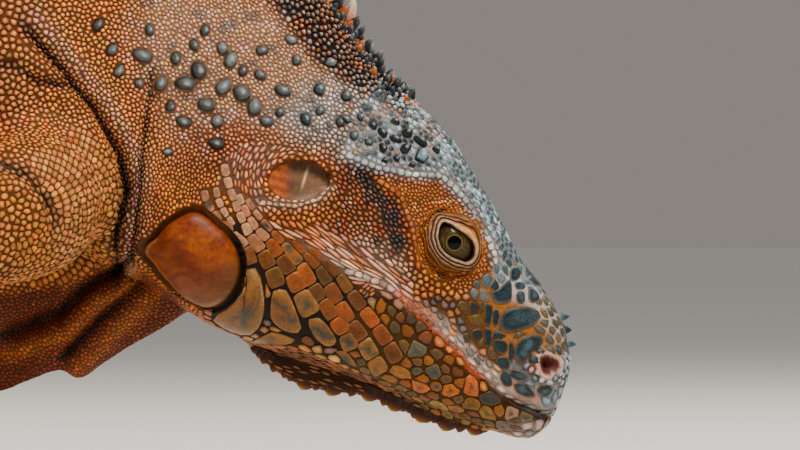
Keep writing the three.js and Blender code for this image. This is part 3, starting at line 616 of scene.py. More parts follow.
def leg_limb(table, side, stride):
    share = np.linspace(0, 1, len(table))
    places = [(x + stride * f, side * y, z) for (x, y, z, _, _), f in zip(table, share)]
    return Limb(places, *([s[k] - COAT_DEPTH for s in table] for k in (3, 4)))


def toe_root(table, side, stride, number):
    x, y, z = table[-1][:3]
    return np.array([x + stride - 3, side * (y + (number - 2) * TOE_PITCH), z])


def low_limb(root, ahead, stops, thick):
    """A limb over the floor, through stops given as reach, height and shares of its thickness."""
    places = [root * (1, 1, 0) + ahead * reach + np.array([0, 0, height]) for reach, height, _, _ in stops]
    return Limb(places, *([thick * s[k] for s in stops] for k in (2, 3)))


def toe_limb(root, heading, length):
    """A toe that arches from the sole and rests on the floor at its tip."""
    ahead = np.array([math.cos(heading), math.sin(heading), 0])
    stops = [(-5, 4.6, 1, 0.9), (length * 0.2, 5.3, 0.92, 0.88), (length * 0.35, 5.5, 0.98, 0.95),
             (length * 0.55, 4.4, 0.82, 0.78), (length * 0.7, 3.6, 0.86, 0.84),
             (length * 0.88, 3.0, 0.68, 0.72), (length + 0.5, 2.9, 0.74, 0.8), (length + 2.6, 2.9, 0.3, 0.34)]
    return low_limb(root, ahead, stops, TOE_THICK - 0.35)


def legs():
    """Each leg's name, its own limb and those of its toes."""
    made = []
    for name, table, digits, side, stride in LEGS:
        toes = [toe_limb(toe_root(table, side, stride, i), side * math.radians(heading), length)
                for i, (heading, length) in enumerate(digits)]
        made.append((name, leg_limb(table, side, stride), toes))
    return made


LIMBS = legs()

# ---------------------------------------------------------------- throat
# Folded throat flap: forward of the eye, height of the root inside the neck, height of the free edge.
DEWLAP = [
    (-64, 59, 56), (-72, 64, 50.5), (-80, 69, 46), (-88, 73, 41), (-94, 75, 37.5), (-98, 77, 39.5),
    (-106, 80, 37), (-114, 83, 34), (-124, 84, 33), (-134, 84, 38), (-143, 84, 50),
]
DEWLAP_HALF = (3.0, 11.6)
# Fringe under the jaw: forward of the eye along the head, how far it hangs below the jaw.
FRINGE = [(-26, 0.4), (-18, 3.4), (-8, 5.6), (-1, 5), (8, 3), (20, 3.4), (28, 3), (37, 0.4)]
FRINGE_HALF = 1.2
FRINGE_SPIKES = [-7.3, -0.9, 7.4, 14.1, 21.2, 27.3, 33.7]


def dewlap_skin():
    by_distance = [(-x, top, bottom) for x, top, bottom in DEWLAP]
    root_at, edge_at = curve(by_distance, 1), curve(by_distance, 2)
    angle = round_angles(64, 0.5)
    rings = []
    for distance in np.linspace(by_distance[0][0], by_distance[-1][0], 90):
        edge, root = float(edge_at(distance)) + 0.4, float(root_at(distance))
        height = mix(edge, root, (1 + np.sin(angle)) / 2)
        half = mix(DEWLAP_HALF[0], DEWLAP_HALF[1], np.clip((height - edge) / 40, 0, 1))
        x = np.full_like(angle, -distance)
        fold = 1.8 * np.sin((x - 0.8 * height) / 5) * np.clip((root - height) / 12, 0, 1)
        rings.append(np.stack([x, half * np.cos(angle) + fold, height], 1))
    return closed_skin(rings)


def fringe_skin():
    depth_at = curve(FRINGE)
    rings = []
    for forward in np.linspace(FRINGE[0][0], FRINGE[-1][0], 90):
        jaw = float(underside_at(-forward))
        depth = float(depth_at(forward))
        down = np.linspace(-3, depth, 8)
        half = FRINGE_HALF * np.sqrt(np.clip(1 - (down / (depth + 0.01)).clip(0, 1) ** 3, 0, 1)) + 0.12
        side = np.concatenate([half, -half[::-1]])
        height = jaw - np.concatenate([down, down[::-1]])
        rings.append(head_point(np.full(16, forward), side, height))
    return closed_skin(rings)


# ---------------------------------------------------------------- whole skin
HEAD_AROUND = 272
RING_STEPS = [
    (SNOUT, 0.62), (60, 0.62), (70, 0.85), (116, 0.95), (150, 3.2), (VENT, 3.6), (700, 6), (TAIL_TIP, 9),
]
HALVINGS = [122.0, 560.0, 900.0]   # where the points round the body halve


def ring_distances():
    step_at = curve(RING_STEPS)
    distances = [SNOUT]
    while distances[-1] < TAIL_TIP:
        distances.append(distances[-1] + float(step_at(distances[-1])))
    distances[-1] = TAIL_TIP
    return np.array(distances)


def body_skin():
    rings = []
    for t in ring_distances():
        around = HEAD_AROUND >> sum(t > halving for halving in HALVINGS)
        grow = -COAT_DEPTH if t > -46 else -0.2
        rings.append(skin_points(np.full(around, t), round_angles(around), grow))
    return closed_skin(rings)


def press_on_floor(points, level=0.15):
    """Flattens what would sink into the floor."""
    points = points.copy()
    low = points[:, 2] < level
    points[low, 2] = level
    return points


def whole_skin():
    """The body, throat, legs and toes as one surface, with soft joins and the folds of head and neck."""
    feet = []
    for _, limb, toes in LIMBS:
        solids = [limb.skin(110, 48), *(toe.skin(28, 16) for toe in toes)]
        points, faces = united(solids)
        seam = made_by_joining(points, solids)
        feet.append((softened(points, faces, seam, 5.0, 10), faces))
    solids = [body_skin(), *feet, dewlap_skin(), fringe_skin()]
    points, faces = united(solids)
    seam = made_by_joining(points, solids)
    high = seam[seam[:, 2] > EYE_HEIGHT - 60]
    aside = np.abs(high[:, 1]) > 16
    points = softened(points, faces, high[aside], 17.0, 60)
    points = softened(points, faces, high[~aside], 5.0, 12)
    t = body_marks(points)[0]
    normals = point_normals(points, faces)
    sideness = ease(np.abs(normals[:, 1]), 0.05, 0.5) * ease(t, 150, 128)
    near = t < FOLDS_END
    lift = np.zeros(len(points))
    lift[near] = folded(points[near], sideness[near])
    points = points + normals * lift[:, None]
    return press_on_floor(points), faces


# ---------------------------------------------------------------- places seen along an eye's or ear's axis
class Place:
    """A mark on one side of the head, with the way out of the skin there. Flat places round it are
    level and upright, as seen from that side."""

    def __init__(self, mark, side, sideways, outward):
        self.side = side
        self.centre = head_point(np.array(mark[0]), np.array(side * sideways), np.array(mark[1]))
        self.out = unit(side * HEAD_LEFT + outward[0] * HEAD_FORWARD + outward[1] * HEAD_UP)
        level = np.array([1.0, 0, 0])
        self.level = unit(level - self.out * dot(level, self.out))
        self.up = np.cross(self.out, self.level) * -side

    def marks(self, points):
        """Level and upright distance from the mark, and distance out."""
        offset = points - self.centre
        return offset @ self.level, offset @ self.up, offset @ self.out

    def at(self, u, v, w):
        u, v, w = (np.asarray(k, float)[..., None] for k in (u, v, w))
        return self.centre + self.level * u + self.up * v + self.out * w


def eye_place(side):
    return Place((0, 0), side, EYE_SIDE, EYE_OUT)


def ear_place(side):
    return Place(EAR, side, EAR_SIDE, EAR_OUT)


def shield_place(side):
    return Place(JAW_SHIELD, side, SHIELD_SIDE, SHIELD_OUT)


EAR_RADII = (7.0, 4.9)
EAR_TURN = 6.0
LID_REACH = 9.4
# Radius of the jaw shield by direction, in degrees up from straight ahead along the head.
SHIELD_OUTLINE = [
    (-45, 12.5), (0, 12.3), (38, 11.4), (90, 10.5), (129, 12.2), (152, 11.3), (184, 11), (208, 13.2),
    (226, 10.8), (257, 9.6), (285, 10.9), (315, 12.5), (360, 12.3),
]
shield_radius_at = curve(SHIELD_OUTLINE)


def turned(u, v, degrees):
    c, s = math.cos(math.radians(degrees)), math.sin(math.radians(degrees))
    return u * c + v * s, v * c - u * s


def ear_share(points, side):
    """0 at the middle of an ear drum and 1 at its edge; large on the other side of the head."""
    u, v, w = ear_place(side).marks(points)
    a, b = turned(u, v, EAR_TURN)
    return np.where(w > -9, np.hypot(a / EAR_RADII[0], b / EAR_RADII[1]), ELSEWHERE)


def shield_edge(angle):
    """Radius of a jaw shield in a direction seen from its side, in radians up from level."""
    turn = np.degrees(np.arctan2(np.sin(angle), np.cos(angle))) + RISE[0][1]
    return shield_radius_at(np.where(turn < -45, turn + 360, turn))


def shield_share(points, side):
    """0 at the middle of a jaw shield and 1 at its edge."""
    u, v, w = shield_place(side).marks(points)
    return np.where(w > -12, np.hypot(u, v) / shield_edge(np.arctan2(v, u)), ELSEWHERE)


def eye_reach(points, side):
    """Distance from an eye's axis; large on the other side of the head."""
    u, v, w = eye_place(side).marks(points)
    return np.where(w > EYE_BACK, np.hypot(u, v), ELSEWHERE)


def any_eye_reach(points):
    return np.minimum(eye_reach(points, -1), eye_reach(points, 1))


def hollowed(points):
    """The skin with the eye sockets, ear openings and the grooves round the jaw shields pressed in."""
    points = points.copy()
    for _, side in SIDES:
        place = eye_place(side)
        reach = eye_reach(points, side)
        near = reach < LID_REACH
        floor = np.sqrt(np.clip((EYEBALL_RADIUS - 1.2) ** 2 - reach[near] ** 2, 0.5, None))
        w = place.marks(points[near])[2]
        deep = mix(w, np.minimum(w - 2.2, floor), ease(LID_REACH - reach[near], 0, 1.3))
        points[near] += place.out * (deep - w)[:, None]
        share = ear_share(points, side)
        near = share < 1.2
        points[near] -= ear_place(side).out * (4.2 * ease(1.12 - share[near], 0, 0.2))[:, None]
        share = shield_share(points, side)
        near = share < 1.3
        groove = 1.9 * ease(1.13 - share[near], 0, 0.09)
        points[near] -= shield_place(side).out * groove[:, None]
    return points


class Surface:
    """A skin that scales can be set on."""

    def __init__(self, points, faces):
        self.points, self.faces = points, faces
        self.tree = BVHTree.FromPolygons(points.tolist(), faces.tolist())
        self.normals = point_normals(points, faces)

    def nearest(self, points):
        """The nearest places on the skin, the way out there, and how far away they are."""
        found = [self.tree.find_nearest(p) for p in points.tolist()]
        place = np.array([f[0] for f in found])
        corners = self.faces[[f[2] for f in found]]
        a, b, c = (self.points[corners[:, k]] for k in range(3))
        ab, ac, ap = b - a, c - a, place - a
        d00, d01, d11 = dot(ab, ab), dot(ab, ac), dot(ac, ac)
        d20, d21 = dot(ap, ab), dot(ap, ac)
        whole = np.maximum(d00 * d11 - d01 * d01, 1e-12)
        v, w = (d11 * d20 - d01 * d21) / whole, (d00 * d21 - d01 * d20) / whole
        out = (self.normals[corners[:, 0]] * (1 - v - w)[:, None] + self.normals[corners[:, 1]] * v[:, None]
               + self.normals[corners[:, 2]] * w[:, None])
        return place, unit(out), np.array([f[3] for f in found])

    def on(self, points):
        """The nearest places on the skin to points in an array of any shape."""
        return self.nearest(points.reshape(-1, 3))[0].reshape(points.shape)

    def height(self, place, u, v):
        """How far out the skin is at flat places round a mark."""
        away = 30.0
        w = []
        for start in place.at(u, v, np.full(len(u), away)):
            hit = self.tree.ray_cast(Vector(start), Vector(-place.out), 2 * away)
            w.append(away - hit[3] if hit[0] is not None else 0.0)
        return np.array(w)


# ---------------------------------------------------------------- eyelids
# Edge of the eye's opening: direction from the middle of the eye, in degrees, and distance.
APERTURE = [
    (-180, 3.7), (-160, 3.5), (-133, 3.3), (-107, 3.5), (-73, 4.5), (-53, 6), (-38, 6.3), (-17, 5.6), (3, 4.8),
    (17, 4.1), (40, 3.5), (60, 3.3), (83, 3.7), (102, 4.8), (117, 5.7), (128, 5.4), (142, 4.8), (169, 4),
    (180, 3.7),
]
LID_THICKNESS = 0.95


def aperture(angle):
    keys = APERTURE[:-1]
    wrapped = [(a - 360, r) for a, r in keys] + keys + [(a + 360, r) for a, r in keys]
    return curve(wrapped)(np.degrees(angle))


def lid_folds(angle, off):
    """How far towards the front a direction is, the width of the lid's margin there, and the height of its
    folds, -1 to 1, at a distance off the opening."""
    front = bell(np.angle(np.exp(1j * (angle - math.radians(32)))), 1.2)
    margin = mix(0.45, 1.55, front)
    spacing = mix(0.82, 1.25, front)
    wander = 0.28 * np.sin(3 * angle + 1.3 * off) + 0.2 * np.sin(7 * angle - 2.1 * off)
    wave = np.cos(2 * np.pi * ((off - margin) / spacing + wander * ease(off, 0.8, 3)))
    return front, margin, wave


def lid_skin(place, plump):
    """Lids round one eye: points and triangles from the edge of the opening to under the skin outside."""
    around, out = 140, 60
    angle = -np.pi + round_angles(around)
    edge = aperture(angle)
    rings = []
    for f in np.linspace(0, 1, out) ** 1.1:
        reach = mix(edge, LID_REACH + 1.2, f)
        u, v = reach * np.cos(angle), reach * np.sin(angle)
        on_ball = np.sqrt(np.clip((EYEBALL_RADIUS + LID_THICKNESS) ** 2 - reach**2, 2.0, None))
        in_skin = plump.height(place, u, v)
        w = mix(on_ball, in_skin, ease(reach, 6.6, LID_REACH))
        from_edge = reach - edge
        _, margin, wave = lid_folds(angle, from_edge)
        w += 0.4 * bell(from_edge - margin * 0.5, margin * 0.45)
        w += 0.28 * wave * ease(from_edge, margin * 0.8, margin * 1.3) * ease(LID_REACH - reach, 0, 1.2)
        w -= 0.95 * (1 - ease(from_edge, 0, 0.28))
        w -= 1.4 * ease(f, 0.93, 1.0)
        rings.append(place.at(u, v, w))
    points = np.vstack([mix(place.centre, rings[0], 0.93), *rings])
    faces = np.vstack([f for r in range(out) for f in band(r * around, (r + 1) * around, around)])
    normals = point_normals(points, faces)
    if dot(normals, np.broadcast_to(place.out, normals.shape)).sum() < 0:
        faces = faces[:, ::-1].copy()
    return points, faces


# ---------------------------------------------------------------- markings
CORAL, SALMON, PALE_PINK = rgb(212, 114, 44), rgb(234, 148, 92), rgb(240, 206, 186)
ORANGE, OCHRE, RUST = rgb(214, 106, 6), rgb(200, 130, 16), rgb(160, 60, 4)
BLUE_GREY, PALE_GREY, SLATE = rgb(130, 160, 172), rgb(222, 230, 226), rgb(30, 46, 54)
ICE = rgb(184, 208, 220)
TEAL, CREAM, OLIVE = rgb(34, 70, 80), rgb(238, 200, 140), rgb(124, 102, 30)
DARK, BROWN, LIME = rgb(20, 12, 6), rgb(84, 40, 12), rgb(200, 194, 50)
# Painted shade: the near black of the gaps at the scales' feet and the dark of the skin's creases.
GROOVE_SHADE, CREASE_SHADE = rgb(18, 9, 4), mix(DARK, BROWN, 0.3)
DEPTH = 0.6                   # how deep all the skin's colours are
BAR_PITCH, RING_PITCH = 62, 74   # from one dark bar of the trunk or ring of the tail to the next

CROWN = [
    (-27, 22), (-17.8, 20), (-8.5, 18.4), (-2.2, 18.2), (3.6, 13.4), (6.6, 9), (9.2, 4.6), (12.2, -2.5),
    (13, -7.2), (15.5, -4.8), (19.5, -10.5), (25.5, -14.2), (32, -23), (45, -21.8), (37.5, 30.8), (17.5, 50.8),
    (-13, 44), (-22, 36),
]
SNOUT_PLATES = [
    (8.2, -8), (14.5, -4), (24.5, -9), (33, -24.5), (24.8, -31.5), (12.5, -29), (4, -24.5), (3, -16),
]
ORBIT = [
    (-17, 16.5), (-9, 16), (-2, 15.4), (3.6, 10), (7.4, 3), (9.8, -3), (9.6, -9), (3, -12.5), (-5, -8.5),
    (-8.5, 0), (-11, 9),
]
CHEEK_FAN = [
    (-52, 7), (-44, 4.5), (-32, 4), (-22, -1.5), (-12, -7), (-9.5, -13.5), (-18, -13), (-28, -8.5), (-38, -4),
    (-48, 1.5),
]
JAW = [
    (-53, 8), (-46, 4.5), (-33, -5), (-22, -12), (-12.5, -14.5), (1, -28.4), (12, -38.8), (24, -43.6),
    (24, -50), (-2.5, -43.5), (-22.8, -32.5), (-38.5, -26.4), (-56, -25.8), (-62, -18),
]
JAW_FRONT = [
    (-24, -16), (-12, -16), (1, -29.5), (12, -40.2), (20, -44), (14, -50), (-2.5, -43.5), (-17, -36),
    (-25, -30),
]
UNDER_JAW = [
    (-60, -24), (-49.8, -25.8), (-38.5, -26.3), (-22.8, -32.6), (-2.5, -43.6), (12, -49), (12, -62), (-20, -52),
    (-60, -40),
]
UPPER_LIP = [
    (-11.5, -13), (-4, -21.5), (8.6, -33.8), (13.5, -37.8), (22.8, -42), (23, -38.5), (10, -30), (-2, -18),
]
TEMPLE = [
    (-30, 22), (-18.5, 17), (-12.6, 11.6), (-9.8, 4), (-8.2, -6.5), (-11, -8.5), (-22, -2), (-31, 4),
    (-29.5, 12),
]
SHOULDER_AREA = [(-130, 19), (-106, 19), (-92, 30), (-84, 20), (-81, 8), (-84, -4), (-98, -10.5), (-130, -10)]
ARM_FACE = [(-130, 15), (-108, 18), (-103, 11), (-99, 3), (-97, -6), (-104, -10), (-130, -12)]
TUBERCLE_FIELD = [(-80, 50), (-68, 24), (-52, 26), (-30, 29), (-24, 40), (-40, 60), (-75, 66)]
THROAT_FLAP = [
    (-150, -6), (-112.5, -12), (-97.5, -9.5), (-82.5, -4), (-74, -5), (-64, -19), (-87.5, -38), (-112.5, -42),
    (-150, -42),
]
NECK_MIDDLE = [(-66, 31), (-50, 32), (-45, 25), (-52, 16), (-64, 13), (-70, 20)]
SHIELD_BACK = [(-83, 18), (-76, 18), (-72, 10), (-74, 0), (-82, -2)]
TEMPLE_DARK = [(-24, 18), (-20, 17), (-14.5, 11.5), (-12.5, 6), (-11, -2), (-13.5, -4), (-16.5, 3), (-19, 10)]
CROWN_SIDE = [(-44, 32), (-35, 40), (-23, 42), (-12, 37), (-10, 22), (-27, 22), (-39, 26)]
NAPE_BAND = [(-9, 35), (-16.2, 44), (-25, 54), (-36, 66), (-46, 62), (-34, 46), (-22.5, 38), (-12.5, 33.2)]
CROWN_REAR = [(-28, 21.5), (-15, 20.5), (-4, 20.5), (-3, 33), (-12, 37), (-28, 36)]

LOWER_SNOUT = [
    (-8, -13.5), (0, -12.5), (7, -12), (13, -28.5), (21, -33), (20, -39), (11, -33), (3, -25.5), (-4, -18.5),
]

SNOUT_FRONT = [
    (14, -28), (20, -26), (24, -24), (22, -14), (14, -8), (14, -4), (40, -4), (40, -46), (20, -43), (13, -37),
]
SNOUT_BRIDGE = [(12.5, -5), (25, -8), (34, -25), (27, -25), (20, -16), (13, -12.5)]
SNOUT_TIP = [
    (12.5, -33.5), (21, -35), (29, -35.5), (33, -31), (30, -40), (24.5, -43.4), (17.5, -39.6), (11.5, -35.8),
]
CHIN_TIP = [(16, -43), (23, -45.5), (27, -46), (22, -51), (10, -49.5)]
PALE_CHEEK = [(-30, -1), (-21, 2), (-12, -1), (-9, -10), (-13, -12), (-20, -8.5), (-27, -5)]
EAR_FAN = [
    (-57.5, 14.5), (-56.5, 20.8), (-52.5, 24), (-47, 25), (-38, 23.4), (-45, 19), (-47.5, 14.5), (-45.5, 8.5),
    (-50, 7),
]

# Areas in the order they are painted: outline, softness, colour, strength.
AREAS = [
    (TUBERCLE_FIELD, 7, mix(mix(CORAL, CREAM, 0.45), mix(PALE_PINK, PALE_GREY, 0.4), 0.4), 0.65),
    (NECK_MIDDLE, 5, rgb(172, 78, 12), 0.7), (SHIELD_BACK, 3, rgb(120, 50, 8), 0.7),
    (CROWN_SIDE, 5, mix(PALE_GREY, BLUE_GREY, 0.5), 0.65), (NAPE_BAND, 3, mix(SLATE, BROWN, 0.45), 0.85),
    (SHOULDER_AREA, 3, mix(SALMON, OCHRE, 0.45), 0.8), (ARM_FACE, 3, mix(ORANGE, OCHRE, 0.5), 0.85),
    (TEMPLE, 3, mix(BROWN, CORAL, 0.35), 0.75), (EAR_FAN, 1.5, mix(CORAL, PALE_PINK, 0.35), 0.8),
    (CHEEK_FAN, 2.2, mix(CORAL, SALMON, 0.5), 0.85), (PALE_CHEEK, 3, mix(SALMON, PALE_PINK, 0.7), 0.6),
    (JAW, 1.6, rgb(158, 84, 8), 0.95), (JAW_FRONT, 4, rgb(142, 98, 16), 0.6),
    (LOWER_SNOUT, 1.5, mix(OLIVE, RUST, 0.5), 0.85), (UNDER_JAW, 1.5, rgb(110, 60, 0), 0.9),
    (ORBIT, 1.8, mix(RUST, OCHRE, 0.35), 0.95), (SNOUT_FRONT, 2, mix(ICE, PALE_PINK, 0.3), 0.95),
    (CROWN, 1.4, mix(ICE, BLUE_GREY, 0.2), 0.95), (CROWN_REAR, 3, mix(PALE_GREY, ORANGE, 0.3), 0.45),
    (SNOUT_PLATES, 1.5, rgb(176, 112, 46), 0.9), (SNOUT_BRIDGE, 2, mix(PALE_GREY, PALE_PINK, 0.4), 0.85),
    (SNOUT_TIP, 1.2, mix(BLUE_GREY, PALE_PINK, 0.5), 0.85),
    (CHIN_TIP, 1.5, mix(PALE_PINK, BLUE_GREY, 0.35), 0.8), (UPPER_LIP, 0.9, mix(PALE_PINK, SALMON, 0.45), 0.8),
]
# Lines in the order they are painted: line, half width, colour, strength. The dark lines along the creases, the
# throat folds, the hollow behind the socket rim and the front half of the mouth are painted shade; the pale
# lines beside the front and neck creases and below the throat folds are painted highlights on the ridges of
# those folds.
LINES = [
    (FRONT_CREASE, 1.2, CREASE_SHADE, 0.92), (shifted(FRONT_CREASE, 3.6, 1.4), 2, mix(SALMON, PALE_PINK, 0.4), 0.6),
    (BACK_CREASE, 0.9, CREASE_SHADE, 0.85), (NECK_CREASE, 0.8, CREASE_SHADE, 0.85), (ARM_CREASE, 1.1, CREASE_SHADE, 0.8),
    (shifted(NECK_CREASE, 2.6, 0), 1.6, mix(SALMON, OCHRE, 0.3), 0.45), (UPPER_THROAT_FOLD, 1.3, DARK, 0.9),
    (LOWER_THROAT_FOLD, 1.1, DARK, 0.9),
    (shifted(UPPER_THROAT_FOLD, 1.8, -5.2), 1.8, mix(ORANGE, OCHRE, 0.4), 0.5),
    (shifted(LOWER_THROAT_FOLD, 3, -4.2), 1.8, mix(ORANGE, OCHRE, 0.3), 0.45),
    (TEMPLE_BAND, 2.9, mix(DARK, SLATE, 0.4), 0.88), (SOCKET_RIM, 1.8, mix(ORANGE, CORAL, 0.45), 0.95),
    (CHEEK_RIDGE, 1.5, PALE_PINK, 0.85), (BROW, 1.4, mix(PALE_PINK, ICE, 0.75), 0.95),
    ([(10.5, 0), (12.6, -6.5), (14, -10)], 1.6, mix(PALE_PINK, PALE_GREY, 0.4), 0.7),
    ([(-49.8, -24.2), (-38.5, -24.9), (-22.8, -31.2), (-2.5, -42.2), (12, -47.4)], 0.8,
     mix(CREAM, LIME, 0.5), 0.75),
    (EAR_RIM, 1.4, mix(PALE_PINK, SALMON, 0.4), 0.85), (EAR_FOLD, 2.2, ORANGE, 0.7),
    (MOUTH_LINE[:5], 0.7, rgb(250, 112, 36), 1), (MOUTH_LINE[4:], 0.75, DARK, 0.95),
    ([(-1, -20.5), (9.2, -32.2), (14, -36.8)], 1.5, mix(PALE_PINK, PALE_GREY, 0.3), 0.75),
]
# Painted shade on the skin between the scales: how dark it is, as a share of the colour painted there.
GROOVES = [
    (TUBERCLE_FIELD, 6, 0.4), (CROWN, 2, 0.6), (SNOUT_PLATES, 1, 0.8), (LOWER_SNOUT, 1.5, 0.3), (ORBIT, 2, 0.4),
    (JAW, 1.6, 0.035), (JAW_FRONT, 4, 0.24), (CHEEK_FAN, 2, 0.24), (UPPER_LIP, 0.8, 0.6), (SNOUT_TIP, 1, 0.55),
    (CHIN_TIP, 1, 0.5), (NAPE_BAND, 2, 0.12),
]


def throat_share(points):
    """1 on the folded throat flap, fading out round it."""
    return inside(sight(points), THROAT_FLAP, 2.5) * ease(24 - np.abs(points[:, 1]), 0, 8)


def painted(points, t, out):
    """The animal's colours at points on the skin, in linear light, with painted shade in the creases, throat
    folds, temple hollow, mouth and nostril, and painted highlights on the ridges beside the creases and throat
    folds.
    """
    flat = sight(points)
    upright = np.clip((points[:, 2] - EYE_HEIGHT + 20) / 80, 0, 1)
    grain = noise(points, 5.0, 1)
    broad = noise(points, 17.0, 2)
    neck = mix(mix(ORANGE, OCHRE, 0.3), rgb(236, 136, 48), ease(upright + 0.22 * broad, 0.1, 0.75)[:, None])
    above = ease(out[:, 2] + 0.2 * broad, -0.6, 0.3)[:, None]
    trunk = mix(mix(OCHRE, rgb(176, 140, 96), 0.5), mix(RUST, CORAL, 0.45), above)
    bars = ease(np.cos(2 * np.pi * (t + 9 * broad) / BAR_PITCH), 0.25, 0.95)
    bars = bars * ease(out[:, 2], -0.3, 0.3) * ease(t, 130, 190)
    trunk = mix(trunk, mix(BROWN, SLATE, 0.35), 0.55 * bars[:, None])
    rings = ease(np.cos(2 * np.pi * (t + 4 * broad) / RING_PITCH), -0.35, 0.45)[:, None]
    tail = mix(mix(OCHRE, CORAL, 0.3), mix(BROWN, SLATE, 0.3), rings)
    colour = mix(neck, trunk, ease(t, 95, 170)[:, None])
    colour = mix(colour, tail, ease(t, 430, 520)[:, None])
    colour = mix(colour, colour * np.array([1.25, 1.0, 0.8]), (0.5 * grain)[:, None])
    throat = throat_share(points)
    flap = mix(mix(BROWN, RUST, 0.6), mix(RUST, ORANGE, 0.5), (0.5 + 0.5 * broad)[:, None]) * (0.42, 0.28, 0.1)
    colour = mix(colour, flap, 0.9 * throat[:, None])
    near = np.nonzero((t < AREAS_END) & (flat[:, 0] > -135))[0]
    if len(near):
        spot = flat[near] + 0.4 * np.stack([noise(points[near], 2.4, 5), noise(points[near], 2.4, 6)], 1)
        shade = colour[near]
        for outline, soft, tint, strength in AREAS:
            shade = mix(shade, tint, (strength * inside(spot, outline, soft))[:, None])
        blotch = inside(spot, CROWN, 1.4)
        fine = noise(points[near], 2.1, 8)
        shade = mix(shade, mix(SLATE, TEAL, 0.4), (0.8 * blotch * ease(fine, 0.1, 0.55))[:, None])
        warm = blotch * ease(noise(points[near], 2.6, 10), 0.3, 0.7)
        shade = mix(shade, PALE_PINK, 0.7 * warm[:, None])
        mottle = inside(spot, TEMPLE, 3.0) * ease(noise(points[near], 2.4, 9), 0.0, 0.5)
        shade = mix(shade, mix(SLATE, DARK, 0.4), 0.8 * mottle[:, None])
        tan = inside(spot, JAW, 1.6) * ease(noise(points[near], 5.0, 11), 0.0, 0.6)
        shade = mix(shade, mix(OLIVE, OCHRE, 0.4), 0.55 * tan[:, None])
        # Each line is painted over the markings: dark ones as painted shade in creases, pale ones beside them
        # as painted highlights on the ridges.
        for line, width, tint, strength in LINES:
            distance, _ = line_distance(spot, line)
            shade = mix(shade, tint, (strength * bell(distance, width))[:, None])
        ring = nostril_share(head_marks(flat[near]))
        slope = bell(np.hypot(flat[near, 0] - 21.5, flat[near, 1] + 31.0), 2.6)
        shade = mix(shade, mix(RUST, SALMON, 0.35), 0.8 * slope[:, None])
        shade = mix(shade, mix(PALE_PINK, SALMON, 0.3), (0.95 * ease(1.1 - ring, 0, 0.14))[:, None])
        # Painted shade in the nostril's opening.
        shade = mix(shade, rgb(80, 22, 14), (0.97 * ease(0.86 - ring, 0, 0.2))[:, None])
        colour[near] = shade
    return np.clip(colour * DEPTH, 0.002, 1)


# ---------------------------------------------------------------- scales placed one by one
# Corners of a scale's rim, which also tell the kinds apart: plates drawn one by one, plates placed at
# listed marks, ridges, the small scales of head and neck, and those behind.
DRAWN_RIM, PLATE_RIM, RIDGE_RIM, SMALL_RIM, PLAIN_RIM = 18, 14, 8, 7, 6
# Rows of plates from behind the ear down the jaw, seen square from the side: where each is cut across
# (ahead of the eye, above it) and how wide the row is there.
JAW_ROWS = [
    [(-61.5, 13.2, 2), (-60.8, 10.2, 1.9), (-59.2, 7.8, 1.7), (-57.2, 5.2, 1.8), (-54.5, 2.5, 2.2),
     (-51.2, -1, 3.3), (-49.8, -5.5, 4.1)],
    [(-58.5, 14, 1.5), (-58, 11.2, 1.7), (-57, 8.8, 1.7), (-55.5, 6.5, 1.4), (-53.8, 4.5, 1)],
    [(-56.5, 19.8, 2), (-55.8, 16.5, 2), (-55, 13.5, 1.9), (-53.8, 10.5, 1.9), (-52.8, 7.8, 1.9), (-51.5, 5, 2),
     (-50, 2, 2.5), (-47, -2, 3.2), (-44.8, -6.2, 3.8), (-42.8, -11, 4.3)],
    [(-53, 12.2, 1.6), (-51.8, 9.5, 1.6), (-50.2, 6.5, 1.6), (-48.2, 3.5, 1.8), (-45.5, 0.8, 2.3),
     (-42.5, -3.2, 2.9), (-39.8, -7.5, 3.5), (-37.5, -12, 4.1), (-34.5, -18, 5)],
    [(-50.8, 11, 1.5), (-49, 8.2, 1.4), (-47, 5.8, 1.4), (-44.5, 3, 1.4), (-41.8, 0, 2), (-37.5, -5.2, 2.9),
     (-34.5, -10.5, 3.3), (-32, -14.2, 3), (-29, -18.8, 3.5), (-26.2, -22.5, 3.8), (-24.5, -26.8, 4)],
    [(-39.5, 0.5, 1.1), (-36.5, -2.5, 1.5), (-33, -6, 2.2), (-30.5, -10.2, 3), (-28, -15, 3.4),
     (-25, -19.8, 3.4), (-21.8, -24.2, 3.6), (-19.2, -28.8, 3.9), (-17, -32.8, 4)],
    [(-36, -0.8, 1), (-32, -4, 1.4), (-28, -8, 2.2), (-25, -12.2, 2.8), (-21.8, -16.5, 3), (-18.5, -20.8, 3.1),
     (-15.5, -25.2, 3.4), (-13, -29.8, 3.5)],
]
TILES = [
    [(-51.8, -6.2), (-47.8, -6), (-47, -9.2), (-46.2, -13), (-46.2, -16.8), (-47, -19.8), (-48.2, -22),
     (-50.2, -23.2), (-53.5, -22.8), (-57, -21.2), (-59.5, -19.5), (-59.8, -18.2), (-57, -16), (-54.8, -13.5),
     (-53.2, -10.5), (-52.2, -8)],
    [(-44.5, -11.8), (-42.5, -11.2), (-40.8, -11.5), (-39.5, -14.2), (-38.2, -17.2), (-37.2, -20.5), (-37, -22),
     (-38.5, -22.8), (-41, -22.2), (-43.5, -20.8), (-45, -19), (-45, -15.5)],
    [(-35.8, -18.8), (-32.5, -18.5), (-30, -21.2), (-28.2, -24.2), (-29, -25.8), (-31.2, -26), (-33.8, -23.8),
     (-35.2, -21.2)],
    [(-46.2, -22.8), (-44.8, -22), (-41.5, -22.8), (-38.2, -24.2), (-40, -25.2), (-45, -25.2), (-49.8, -24.8),
     (-48.5, -24)],
    [(-37.8, -24.2), (-35.5, -22.8), (-33.5, -25.5), (-35.5, -25.8)],
    [(-29, -27), (-26.2, -26.8), (-24.5, -28.8), (-22.8, -31.5), (-25.8, -30)],
]
